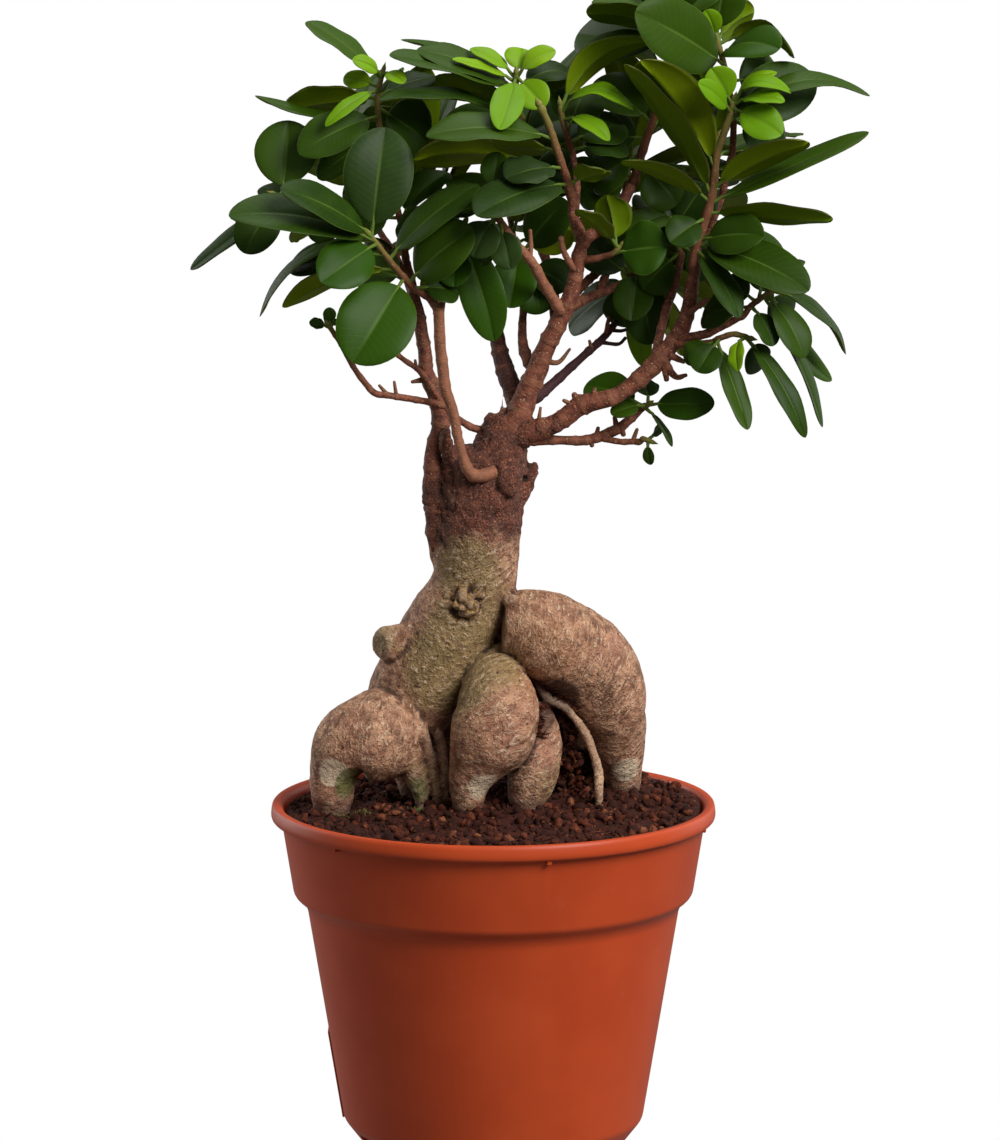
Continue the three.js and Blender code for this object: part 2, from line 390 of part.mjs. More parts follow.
// Leafy shoots: each grows on from the end of a branch. A twig row is [across, up, depth, radius].
// A leaf row is base [across, up], tip [across, up, depth], width, roll and bow. Roll is the turn
// of the upper face from the eye round the leaf's own line, and bow is how far its middle rises.
const SHOOTS = {
  left_front: {
    on: "frontLeft",
    twig: [[-20.5, 230.6, -14, 0.9], [-24, 234.2, -16, 0.9], [-27.3, 238.2, -18, 0.8],
      [-30.2, 242, -19, 0.75], [-32.4, 245, -20, 0.6]],
    leaves: [
      [-31.5, 246, -28.5, 274, -15, 18.5, 0, 2],
      [-32.4, 245, -56, 258, -34, 15, 58, 2],
      [-31.5, 244, -70, 251, -32, 16, 51, 3],
      [-31, 243, -45.8, 232.8, -34, 14, 15, 1.5],
      [-24, 233.6, -37.5, 211.3, -30, 20.5, 5, 2],
      [-27.5, 239, -4, 259, -14, 15, -57, 2],
      [-22, 233, -5.5, 247, -22, 15.5, -28, 2],
      [-25.5, 236.8, -56.4, 227, -18, 14.5, 110, 2],
      [-29, 240, -54.5, 236.5, -12, 12, 45, 2],
      [-31.5, 244, -62.6, 224, -8, 10, 76, 6.6],
      [-21, 231.4, -9.2, 230, -5, 11, -40, 1],
      [-23, 233, -36.5, 237.5, -7, 13, 30, 1],
    ],
  },
  left_far: {
    on: "farLeft",
    twig: [[-52, 254, -5, 0.75], [-57.4, 256, -6, 0.7]],
    leaves: [
      [-56, 255.8, -54.2, 276, 2, 17, -10, -1],
      [-55, 255, -80.6, 236.2, -6, 10, 66, 0.4],
      [-57, 255.6, -66.4, 240.6, -14, 12, 12, 1],
      [-51, 254, -61.4, 258.4, 6, 8, 40, 1],
      [-48.6, 253, -41, 246, 6, 12, 10, 1],
    ],
  },
  left_low: {
    on: "outerLeft",
    twig: [[-42, 218.4, -12.6, 0.65], [-43.6, 220.8, -13, 0.7]],
    leaves: [
      [-43.6, 220.8, -49, 222, -14, 3.8, 40, 0.3],
      [-43.6, 220.8, -43.6, 226, -13, 3.6, 10, 0.3],
      [-43.4, 220.6, -41.4, 222.8, -14, 3, -30, 0.3],
    ],
  },
  left_top: {
    on: "left",
    twig: [[-24.5, 248, 5, 0.9], [-27.6, 262, 3, 0.9], [-30, 274, 1, 0.8],
      [-30.6, 282, 0, 0.75], [-29.2, 288.4, -1, 0.6]],
    leaves: [
      [-30.6, 277, -51.5, 267, -8, 13, 32, 2],
      [-30.2, 276, -63, 282.8, -3, 8, 72, -2],
      [-31.4, 282, -54.8, 279, 7, 13.5, 122, 0.5],
      [-27.6, 286.6, -49.2, 302.2, 5, 13, 68, 1.2],
      [-31.6, 285, -39.6, 287.4, 4, 6, 30, 0.5],
      [-29.8, 287.4, -37, 292, -4, 5, 40, 1.5],
      [-29.2, 288, -23.4, 285.8, -7, 5, -45, 1.5],
      [-31.6, 284.4, -44.4, 274.6, -10, 4, 25, 2],
      [-29.8, 272, -46.6, 260.4, -2, 9, 30, 1],
      [-31, 279, -17, 270, 10, 17, -25, 1],
      [-31.4, 282, -15.4, 287.6, 5, 10, -55, 1],
      [-25.5, 252, -43, 263, 14, 15, 118, 2],
      [-24.6, 249, -12, 262, 12, 15, -60, 2],
      [-24.8, 250, -43, 248.6, 11, 15, 25, 1],
      [-23.6, 243, -34.6, 235.8, 11, 13, 20, 1],
      [-26, 256, -40, 256.5, 15, 14, 20, 1],
    ],
  },
  left_middle: {
    on: "frontLeftFork",
    twig: [[-10, 243, -4, 0.8], [-7.8, 248, -4, 0.7]],
    leaves: [
      [-10.4, 242, -10.4, 231.6, -14, 9.5, 5, 1],
      [-11, 240, -15.6, 226.8, -9, 11, 158, 1],
      [-8, 247.5, -15.4, 251.9, -6, 9, 52, 1],
      [-9, 246, -26, 246.9, 2, 15, 40, 2],
      [-8.6, 246.4, 0.3, 217, -14, 12, 0, 2],
    ],
  },
  middle_front: {
    on: "crossing",
    twig: [[1.6, 249.4, -15, 0.9], [0, 252.4, -15.5, 0.8], [-1, 255.5, -15, 0.7]],
    leaves: [
      [0.8, 251, -5.2, 239.4, -24, 10.5, 8, 1.5],
      [2, 249, 4.6, 236.2, -20, 8.5, 10, 1],
      [-1, 256, 1.4, 267.4, -13, 8, -10, 1],
      [-1, 255, -11, 261, -9, 10, 42, 1],
      [1, 250.6, -3.8, 237.4, -17, 8, 30, 1],
      [0.6, 252, -10.5, 251.4, -8, 11, 60, 1],
    ],
  },
  middle_low: {
    on: "slim",
    twig: [[8.4, 238, 6, 0.8], [7, 242.6, 4, 0.7]],
    leaves: [
      [7, 242.6, 4.4, 225.8, -4, 12.5, 5, 1.5],
      [8.6, 237, 12.5, 224.2, 2, 12, -15, 1.5],
      [8, 240, 20.4, 247.4, 3, 13, -150, 1.5],
      [8.6, 237.6, 20, 231.4, 9, 12, -30, 1],
      [7.4, 241, -4, 247, 9, 12, 60, 1],
      [7.8, 240.6, 19.6, 254.4, 9, 13, -20, 1],
    ],
  },
  middle_sprout: {
    on: "middle",
    twig: [[19.9, 258.6, -12, 1.1], [19, 262, -13, 1.05], [17.2, 267, -14, 1], [15.6, 272, -15, 0.95],
      [13.9, 276.6, -16, 0.9], [12.6, 279.2, -16.4, 1.1]],
    leaves: [
      [15.8, 271, -17.6, 272.6, -22, 16, 62, 2.5],
      [17, 267.5, 0, 269.4, -7, 13, 116, 1],
      [18.6, 263.4, 3.4, 260.8, -22, 14, 58, 1],
      [19.8, 259, -4.4, 251, -23, 17, 52, 2],
      [20.2, 257.4, 8, 251.6, -10, 13, 110, 1],
      [20, 258.6, 30, 262.6, -18, 12, -120, 1],
    ],
  },
  middle_arched: {
    on: "arched",
    twig: [[19.8, 271, -5.4, 0.8], [18.4, 276, -6, 0.8], [17.8, 279.4, -6.4, 0.7]],
    leaves: [
      [17.8, 279, 41, 297.8, -12, 13, -126, 6],
      [18, 278, 37, 279, -12, 7.5, -64, 6],
      [18.4, 276, 30.8, 270.6, -14, 6, -50, 3],
      [19.4, 272, 24, 284, 2, 15, -15, 1],
      [20, 270, 34.6, 275, 3, 14, -40, 1],
      [20.6, 268, 36, 267.4, -4, 12, -60, 1.5],
      [20.6, 268, 25, 257.6, -12, 10, -10, 1],
    ],
  },
  top_middle: {
    on: "top",
    twig: [[8, 266, 10, 0.9], [7, 274, 6, 0.85], [6.2, 281, 2, 0.8], [6, 287.6, -1, 0.8]],
    leaves: [
      [6, 287, 1.8, 274, -24, 8.8, 8, 1],
      [6, 287.6, 13.4, 279.4, -11, 8.8, -12, 1],
      [6, 287, -6, 295, 2, 6.5, 58, 1.5],
      [5.9, 286, -10.6, 292.4, -5, 5.5, 68, 1],
      [6, 287.6, 7.4, 295, 3, 8.5, 0, 0.5],
      [6, 287, 16.4, 294.4, -2, 7.5, -48, 2],
      [6.2, 284, 21.4, 288.4, 5, 13, -60, 3],
      [6.3, 283, -27.4, 293.2, -5, 13, 70, 2],
      [6.5, 281, -18.4, 283.6, -1, 15, 118, 2],
      [6.2, 284, -20, 295, 9, 14, 63, 2],
      [6.4, 282.6, -24, 298.2, 22, 8, 70, 2],
      [6.9, 276, -30, 281.8, 3, 11, 74, 4],
      [8, 266, -21.6, 266.4, 0, 15.5, 122, 1.5],
      [7.6, 270, -14, 275, 13, 16, 20, 1],
      [7.4, 272, 23, 277, 15, 15, -30, 1],
      [8.2, 264, 22, 260, 13, 15, -30, 1],
    ],
  },
  upper_right: {
    on: "main",
    twig: [[38.4, 264, 4, 1.2], [41, 272, 1, 1.1], [44, 281, -2, 1], [46, 290, -3, 0.95],
      [47, 298, -3, 0.9], [47, 303, -3, 0.8]],
    leaves: [
      [47, 302, 46.4, 319.5, -10, 18.5, 0, 2],
      [46.9, 299, 24.6, 304.6, 2, 13.5, 118, 2],
      [46.7, 297, 21.6, 299.4, 9, 17, 30, 1],
      [46.6, 294, 24, 296, -6, 9, 68, 3],
      [45.6, 288, 34, 297.4, 2, 10, 120, 1],
      [42, 275, 27.6, 287, 7, 16, 40, 1],
      [41, 272, 52, 285, 8, 15, -30, 1],
      [39.4, 267, 26, 258.6, 9, 15, 40, 1],
      [38.6, 264.6, 49, 253.6, 3, 15, -20, 1],
      [37.2, 260.8, 22.6, 255, 8, 13, 30, 1],
      [40.6, 271, 24, 271, 12, 15, 30, 1],
      [47, 302.6, 26.2, 307.4, -4, 9, 76, 2],
      [47, 303, 60.6, 312.6, 3, 15, -40, 2],
      [46.9, 301, 35, 315, 6, 15, 35, 1],
    ],
  },
  middle_fork: {
    on: "fork",
    twig: [[32, 240.6, -10, 0.75], [33.6, 242.2, -10.4, 0.7]],
    leaves: [
      [31.6, 240.4, 46, 242.4, -16, 15, -18, 1],
      [32.6, 241.6, 30.4, 256, -6, 11, 158, 1],
      [33.2, 242, 22.4, 252.4, -8, 9, 120, 1],
      [33.6, 242.2, 45.6, 250.6, -8, 12, -50, 2],
    ],
  },
  middle_right: {
    on: "middleRight",
    twig: [[37.4, 235, 11, 0.9], [39.4, 238.6, 11, 0.75]],
    leaves: [
      [38.6, 236.8, 36.8, 222.4, 1, 11, 8, 1],
      [36.4, 234, 33.2, 220.8, 9, 10.5, 10, 1],
      [38.4, 236, 41.8, 216, 7, 12.5, 0, 1],
      [38, 235.6, 39.8, 209.8, 12, 7.5, 20, 1],
      [36, 233.4, 19.8, 220.4, 15, 12, 42, 1.5],
      [39, 237.6, 48, 229, 9, 12, -20, 1],
      [39.4, 238.6, 33, 251, 13, 14, 30, 1],
      [36.4, 234, 24, 243.6, 15, 13, 30, 1],
    ],
  },
  right_inner: {
    on: "inner",
    twig: [[49, 243, 5, 0.85], [47.6, 248, 5, 0.75]],
    leaves: [
      [49.4, 241, 36.2, 250.2, -2, 8, 76, 5],
      [49, 244.4, 43.2, 260, -3, 10, 58, 1],
      [49.4, 240.6, 40, 230.6, 7, 13, 30, 1],
      [49, 243, 59, 235.6, 5, 14, -30, 1],
      [48.4, 246.6, 56, 259, 9, 15, -20, 1],
      [49.6, 239.6, 44, 252.6, 6, 12, 20, 1],
    ],
  },
  right_top: {
    on: "right",
    twig: [[53.4, 239.5, -10.4, 1.35], [55.2, 246, -11, 1.25], [57, 251.6, -11, 1.2],
      [58.1, 257, -11, 1.1], [58.7, 262, -11, 1.05], [59.4, 267, -11, 1], [61, 272, -11.4, 0.95],
      [62.6, 277, -12, 0.9], [63.6, 280.6, -12.4, 0.8]],
    leaves: [
      [63.4, 279.6, 57.6, 289.6, -17, 9.2, 10, 1],
      [62.8, 278, 54.6, 285.8, -21, 6.5, 42, 1],
      [63.4, 279, 76.4, 272.2, -20, 10, -20, 1.5],
      [63.8, 280.6, 78.8, 283.4, -15, 5.4, -52, 6],
      [63.8, 280.6, 74.8, 288.8, -10, 5.6, -52, 2],
      [63.6, 280, 77, 281, -20, 6.4, -62, 2],
      [62, 275, 99.6, 283.4, -17, 11, -64, 8],
      [62, 275.6, 84.6, 288, -1, 16.5, -10, 1],
      [57.2, 254, 99.2, 273.2, -16, 10, -62, 0],
      [58, 258, 83.2, 270.8, -25, 15, -118, 1],
      [57.2, 251.4, 90.2, 249.8, -21, 14, -113, -0.4],
      [58.8, 263, 39.2, 292, -19, 17.5, 142, 3],
      [57.8, 256, 35, 291, -13, 14.5, 116, 2],
      [58.3, 259, 50.6, 275.4, -7, 9, 30, 1],
      [57.4, 254.4, 34.4, 265.8, -20, 12.5, 110, 1.5],
      [54.8, 244, 71.6, 245.4, -20, 12.5, -30, 1],
      [54.2, 241.6, 65.6, 223.6, -26, 8, -35, 1.5],
      [54.4, 243, 84, 230.8, -27, 14.5, -38, 2.6],
      [55, 245.4, 77.6, 241.4, -9, 13, -58, 1],
      [56.4, 250, 47, 243.4, -18, 10, 20, 1],
    ],
  },
  right_back_top: {
    on: "topRight",
    twig: [[63.6, 275, 7, 0.85], [62.4, 284, 4, 0.85], [60.6, 292, 2, 0.8], [59, 297.4, 1, 0.75]],
    leaves: [
      [60.8, 290.6, 38.4, 304.4, -12, 18, 22, 1.6],
      [59.4, 296, 79.6, 292.8, -3, 14.5, -114, 5],
      [59.2, 296.8, 56, 305, -5, 6, 10, 0.5],
      [60.4, 293, 75.6, 295, -4, 14, -58, 3],
      [59, 297, 61.6, 314, 1, 15, -20, 2],
      [59.2, 296.6, 68.8, 305, 5, 13, -128, 2],
      [63.4, 276, 77.4, 266.8, 12, 15, -30, 1],
      [63, 280, 48, 277, 11, 16, 30, 1],
      [62.2, 286, 76.8, 287.4, 9, 15, -20, 1],
    ],
  },
  right_front: {
    on: "frontRight",
    twig: [[68.6, 226.4, -17, 0.8], [71.8, 228.8, -17, 0.8], [74.6, 230.6, -17, 0.75]],
    leaves: [
      [74.4, 230.5, 94, 213.4, -13, 8.5, -70, 4],
      [72.4, 229.6, 82.8, 212.4, -23, 10, -38, 2],
      [72, 229.2, 88, 193.8, -19, 8.5, -73, 1.4],
      [74, 230.4, 90.4, 206.4, -8, 9, -58, -3],
      [68.6, 226.4, 74.4, 215.6, -24, 8, -40, 1.5],
      [70, 227.6, 60.6, 232.6, -22, 10, 28, 1],
      [74.4, 230.6, 79.4, 239, -6, 12, -40, 1],
      [68.4, 226.2, 55.4, 223.8, -8, 13, 40, 1],
      [70.6, 228, 71.6, 238.4, -9, 12, 20, 1],
      [73.4, 230, 77.6, 221.4, -8, 10, -20, 1],
    ],
  },
  right_hanging: {
    on: "hanging",
    twig: [[60.5, 217.8, -16, 0.8], [64, 218.8, -17, 0.75], [67.6, 218, -18, 0.75]],
    leaves: [
      [67.2, 218, 83.6, 191.2, -27, 6.6, -34, 3],
      [59.5, 217.4, 68, 193.2, -27, 6.8, -30, 0.4],
      [67, 218.4, 65.2, 208.8, -26, 5, 40, 2.5],
      [60.4, 217.8, 54.4, 208.6, -21, 9.5, 18, 1],
      [59, 217.2, 51, 211.4, -15, 7.5, 30, 1],
      [67.6, 218, 72, 209.4, -10, 9, -20, 1],
    ],
  },
  right_low: {
    on: "lowRight",
    twig: [[40.2, 199.2, -2, 0.8], [41.4, 200, -4, 0.75]],
    leaves: [
      [41.2, 199.9, 58.8, 200.2, -13, 9.6, -25, 1],
      [40.4, 199.4, 24.4, 205.2, 5, 11.5, 33, 1.5],
      [42.6, 200.7, 40, 207.2, 1, 8, 30, 1],
      [40.4, 199.4, 48, 188.8, -9, 3, -55, 1],
      [41, 199.6, 31.4, 197.4, -4, 7, 50, 1],
    ],
  },
  right_lowest: {
    on: "lowestRight",
    twig: [[40, 190.6, -4, 0.75], [41.4, 190.2, -4.6, 0.7]],
    leaves: [
      [41.2, 190.2, 42, 183.6, -5, 3.4, 25, 0.5],
      [41.6, 190.2, 45.2, 195.2, -6, 3, 40, 0.5],
    ],
  },
};

// Shoots on the far side, whose leaves stand round the twig by a rule
const BACK_SHOOTS = {
  back_far_left: { on: "backFarLeft", twig: [[-35, 255, 29, 0.9], [-38, 265, 31, 0.8]], count: 9 },
  back_left: { on: "darkLeft", twig: [[-12, 250, 27, 1], [-18, 264, 30, 0.8]], count: 10 },
  back_low: { on: "backLow", twig: [[5, 247, 46, 0.9], [3, 257, 52, 0.8]], count: 9 },
  back_middle: { on: "backMiddle", twig: [[9, 262, 33, 1], [8, 275, 35, 0.8]], count: 10 },
  back_inner: { on: "backInner", twig: [[35, 257, 35, 0.9], [37, 272, 37, 0.8]], count: 10 },
  back_fork: { on: "backFork", twig: [[35, 240, 32, 0.9], [41, 245, 37, 0.8]], count: 10 },
  back_right: { on: "backRight", twig: [[58, 262, 33, 1], [60, 275, 34, 0.8]], count: 10 },
};
const BACK_LEAF = {
  short: 26, long: 37, slender: 0.46, droop: 0.22, bow: 2, firstAt: 1.4, widest: 1.35, closest: 0.55,
  faceUp: 0.6, turnStep: 0.45,
};
const GOLDEN_TURN = 2.39996;
const TWIG_SIDES = 4;
const DEPTH_TRIES = [0, 3, -3, 6, -6, 9, -9, 12, -12, 16, -16, 20, -20];
const TURN_TRIES = 14;

// The crown's edge as seen from the front: leaves placed by the rule stay inside it
const CROWN_EDGE = [
  [-56, 236], [-69, 243], [-69, 251], [-60, 258], [-62, 268], [-56, 277], [-50, 284], [-40, 290],
  [-20, 292], [0, 290], [18, 288], [24, 297], [38, 314], [56, 316], [70, 306], [76, 297], [85, 291],
  [86, 276], [83, 268], [66, 258], [62, 250], [74, 247], [83, 240], [83, 232], [74, 220], [66, 210],
  [52, 212], [40, 212], [32, 222], [20, 222], [9, 228], [0, 230], [-12, 229], [-22, 222],
  [-30, 216], [-46, 232],
];

function insideCrown(across, up) {
  let inside = false;
  for (let i = 0; i < CROWN_EDGE.length; i++) {
    const [xa, za] = CROWN_EDGE[i];
    const [xb, zb] = CROWN_EDGE[(i + 1) % CROWN_EDGE.length];
    const crosses = (za > up) !== (zb > up) && across < ((xb - xa) * (up - za)) / (zb - za) + xa;
    if (crosses) inside = !inside;
  }
  return inside;
}

// The seeded draw: a whole number is carried on by one multiply and one add
function dice(seed) {
  let state = seed;
  return () => {
    state = (Math.imul(state, 1664525) + 1013904223) >>> 0;
    return state / 2 ** 32;
  };
}

// Half the width of a blade along its length: widest at the middle, with a blunt tip
const BLADE_STEPS = [0.2, 0.5, 0.82];
const WIDEST = 0.451;
function bladeHalf(along) {
  return (0.5 * along ** 0.6 * (1 - along) ** 0.55) / WIDEST;
}

// A leaf from stalk to tip: three-cornered sections of the two edges and the midrib beneath.
// The stalk starts as a point sunk in the twig.
function leafSolid({ base, tip, face, width, bow }, swell = 0, bladeOnly = false) {
  const chord = tip.clone().sub(base);
  const length = chord.length();
  const along = chord.divideScalar(length);
  const up = face.clone().addScaledVector(along, -face.dot(along)).normalize();
  const across = along.clone().cross(up);
  const stalk = Math.min(PETIOLE_LENGTH, length * 0.25) / length;
  const section = (place, half, rise, fall) => {
    const lean = (4 * bow * (1 - 2 * place)) / length;
    const centre = base.clone().addScaledVector(along, length * place)
      .addScaledVector(up, 4 * bow * place * (1 - place));
    const local = up.clone().addScaledVector(along, -lean).normalize();
    const offset = (out, high) => {
      return centre.clone().addScaledVector(across, out).addScaledVector(local, high);
    };
    return [
      offset(half + 2 * swell, rise + swell), offset(0, -fall - swell),
      offset(-half - 2 * swell, rise + swell),
    ];
  };
  const rings = bladeOnly ? [] : [[base.clone().addScaledVector(along, -PETIOLE_ROOT)]];
  rings.push(section(stalk, PETIOLE_HALF, PETIOLE_HALF / 2, PETIOLE_HALF));
  for (const step of BLADE_STEPS) {
    rings.push(section(stalk + (1 - stalk) * step, width * bladeHalf(step), LEAF_RISE, LEAF_FALL));
  }
  rings.push([tip.clone().addScaledVector(along, swell)]);
  return solid(skin(rings));
}

// Points of a twig: it starts a hair beyond the branch's end, in line with it
function twigPath({ on, twig }) {
  const branch = BRANCHES[on];
  const [beforeEnd, end] = branch.slice(-2).map(([x, z, y]) => seen(x, z, y));
  const onward = end.clone().sub(beforeEnd).normalize();
  const start = [TWIG_GAP, 1.5].map((reach) => end.clone().addScaledVector(onward, reach));
  const centres = [...start, ...twig.map(([x, z, y]) => seen(x, z, y))];
  const endRadius = branch.at(-1)[3];
  const radii = [endRadius, endRadius, ...twig.map((row) => row[3])];
  return { centres, radii };
}

// The place on a twig's middle line that is seen nearest to (across, up)
function nearestOnTwig({ centres }, across, up) {
  const flat = centres.map((p) => p.clone().sub(EYE).multiplyScalar(EYE.y / (EYE.y - p.y)).add(EYE));
  let best = { gap: Infinity };
  for (let i = 0; i + 1 < flat.length; i++) {
    const [a, b] = [flat[i], flat[i + 1]];
    const [dx, dz] = [b.x - a.x, b.z - a.z];
    const ratio = ((across - a.x) * dx + (up - a.z) * dz) / (dx * dx + dz * dz);
    const t = THREE.MathUtils.clamp(ratio, 0, 0.98);
    const gap = Math.hypot(a.x + dx * t - across, a.z + dz * t - up);
    if (gap < best.gap) best = { gap, place: centres[i].clone().lerp(centres[i + 1], t) };
  }
  return best.place;
}

// The upper face of a leaf whose roll is measured from the eye
function faceFromEye(base, tip, roll) {
  const along = tip.clone().sub(base).normalize();
  const toEye = EYE.clone().sub(base).normalize();
  toEye.addScaledVector(along, -toEye.dot(along)).normalize();
  return toEye.applyAxisAngle(along, THREE.MathUtils.degToRad(roll));
}

// Everything placed so far, each with the node it belongs to and its box
const placed = [];

function boxOf(body) {
  const { min, max } = body.boundingBox();
  return new THREE.Box3(new THREE.Vector3(...min), new THREE.Vector3(...max));
}

function put(body, owner, blade) {
  placed.push({ body, owner, box: boxOf(body), blade });
}

// A leaf is clear when its swollen shape meets no other node and its blade no sister blade
function isClear(leaf, owner) {
  const room = leafSolid(leaf, LEAF_CLEARANCE);
  const blade = leafSolid(leaf, 0, true);
  const box = boxOf(room);
  return placed.every((other) => {
    if (!box.intersectsBox(other.box)) return true;
    if (other.owner !== owner) return room.intersect(other.body).isEmpty();
    return !other.blade || blade.intersect(other.blade).isEmpty();
  });
}

// Hand-placed leaves keep their place in the front view and move in depth until they are clear
function placeLeaf(row, path, owner) {
  const [baseAcross, baseUp, tipAcross, tipUp, depth, width, roll, bow] = row;
  const base = nearestOnTwig(path, baseAcross, baseUp);
  for (const shift of DEPTH_TRIES) {
    const tip = seen(tipAcross, tipUp, depth + shift);
    const leaf = { base, tip, face: faceFromEye(base, tip, roll), width, bow };
    if (isClear(leaf, owner)) return leaf;
  }
  return null;
}

// Leaves of a far-side shoot: a golden turn apart, drooping, the upper face to the twig's end
function placeBackLeaf(step, count, path, owner, draw) {
  const { centres } = path;
  const last = centres.length - 1;
  const { firstAt, short, long, widest, closest } = BACK_LEAF;
  const place = Math.min(firstAt + ((last - firstAt) * (step + 0.5)) / count, last - 0.02);
  const index = Math.floor(place);
  const base = centres[index].clone().lerp(centres[index + 1], place - index);
  const growth = centres[last].clone().sub(centres[1]).normalize();
  const sideways = new THREE.Vector3(0, 1, 0).cross(growth).normalize();
  const length = THREE.MathUtils.lerp(short, long, draw());
  const open = THREE.MathUtils.lerp(widest, closest, (step + draw()) / count);
  for (let i = 0; i < TURN_TRIES; i++) {
    const turn = GOLDEN_TURN * step + i * BACK_LEAF.turnStep;
    const out = sideways.clone().applyAxisAngle(growth, turn);
    const heading = growth.clone().multiplyScalar(Math.cos(open)).addScaledVector(out, Math.sin(open));
    heading.z -= BACK_LEAF.droop;
    const tip = base.clone().addScaledVector(heading.normalize(), length);
    const flat = tip.clone().sub(EYE).multiplyScalar(EYE.y / (EYE.y - tip.y)).add(EYE);
    const face = growth.clone();
    face.z += BACK_LEAF.faceUp;
    const leaf = { base, tip, face, width: length * BACK_LEAF.slender, bow: BACK_LEAF.bow };
    if (insideCrown(flat.x, flat.z) && isClear(leaf, owner)) return leaf;
  }
  return null;
}

function makeShoots() {
  const all = { ...SHOOTS, ...BACK_SHOOTS };
  const names = Object.keys(all);
  const paths = names.map((name) => twigPath(all[name]));
  const pieces = names.map((name, i) => {
    const twig = tube(paths[i].centres, paths[i].radii, TWIG_SIDES);
    put(twig, name);
    return [twig];
  });
  names.forEach((name, i) => {
    const { leaves, count } = all[name];
    const draw = dice(977 + i);
    const wanted = leaves ?? Array.from({ length: count }, (_, step) => step);
    for (const row of wanted) {
      const leaf = leaves
        ? placeLeaf(row, paths[i], name)
        : placeBackLeaf(row, count, paths[i], name, draw);
      if (!leaf) continue;
      const body = leafSolid(leaf);
      put(body, name, leafSolid(leaf, 0, true));
      pieces[i].push(body);
    }
  });
  return names.map((name, i) => [name, largest(join(pieces[i]))]);
}

const LOOKS = {
  pot: { colour: 0xb2502f, roughness: 0.5 },
  soil: { colour: 0x3c1e16, roughness: 0.95 },
  trunk: { colour: 0x7d6650, roughness: 0.8 },
  leaf: { colour: 0x35551f, roughness: 0.4 },
};

const trunkPieces = makeTrunk();
for (const piece of trunkPieces) put(piece, "trunk");
const shoots = makeShoots();

const tree = new THREE.Group();
tree.add(node("pot", makePot(), LOOKS.pot));
tree.add(node("soil", makeSoil(makeRootHoles()), LOOKS.soil));
tree.add(node("trunk", join(trunkPieces), LOOKS.trunk));
for (const [name, body] of shoots) tree.add(node("shoot_" + name, body, LOOKS.leaf));

export default tree;
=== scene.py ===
"""A ficus ginseng bonsai in a plastic nursery pot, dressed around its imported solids.

The tables are in millimetres. A place on the tree is given as it is seen from the front: across
and up on the plane through the trunk's middle, and depth away from the eye.
"""

import math

import bpy
import numpy as np
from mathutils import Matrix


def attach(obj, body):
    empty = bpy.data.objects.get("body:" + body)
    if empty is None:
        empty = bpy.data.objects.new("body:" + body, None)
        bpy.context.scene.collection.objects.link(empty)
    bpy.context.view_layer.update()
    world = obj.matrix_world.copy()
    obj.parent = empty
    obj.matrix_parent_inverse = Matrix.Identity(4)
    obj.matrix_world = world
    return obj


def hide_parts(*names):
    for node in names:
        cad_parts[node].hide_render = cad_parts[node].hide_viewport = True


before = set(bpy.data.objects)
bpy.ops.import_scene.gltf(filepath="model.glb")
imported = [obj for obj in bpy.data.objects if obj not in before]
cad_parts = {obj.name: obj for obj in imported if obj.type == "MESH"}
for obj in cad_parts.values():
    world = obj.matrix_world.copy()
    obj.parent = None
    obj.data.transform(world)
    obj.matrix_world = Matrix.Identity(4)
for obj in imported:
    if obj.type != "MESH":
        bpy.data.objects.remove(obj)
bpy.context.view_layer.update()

MM = 0.001
EYE = np.array([1.8, -1579.0, 413.0])
# A twig starts a gap beyond its branch's end and runs straight for its lead. Its wood runs back
# into the branch.
TWIG_GAP, TWIG_LEAD, TWIG_BACK = 0.35, 1.5, 1.6
PETIOLE_LENGTH = 3.2
GOLDEN_TURN = 2.39996
TURN_TRIES = 14
WIDEST = 0.451
SEEDS = {"branches": 41, "shoots": 500, "turns": 977, "crumbs": 7, "moss": 19}

# Pot
POT_OUTSIDE = [
    [0, 0], [36.5, 0], [40.6, 5.3], [50.2, 63.2], [51.2, 65.2],
    [53.9, 67.4], [57.2, 88], [59.5, 87.7], [60, 88.9], [59.6, 92], [57.7, 92],
]
POT_INSIDE = [
    [56.7, 91], [52.3, 68.2], [49.8, 66.2], [48.8, 64.2], [39.5, 6], [36.2, 1.2], [0, 1.2],
]
LUGS = {"count": 6, "first": -75.5, "width": 1.2, "drop": 1.4, "reach": 2.6, "radius": 57.6,
        "top": 88.1}
NOTCHES = {"count": 10, "first": 209, "width": 9, "height": 3.4, "depth": 7, "radius": 40.2}
SIDE_RIB = {"size": [1.6, 7, 24], "radius": 42.1, "middle": 17.2, "lean": math.atan2(9.6, 57.9)}
SOIL = {"base": 90, "radius": 56, "heap": 3.2, "backRight": 1.6, "grain": 0.4}
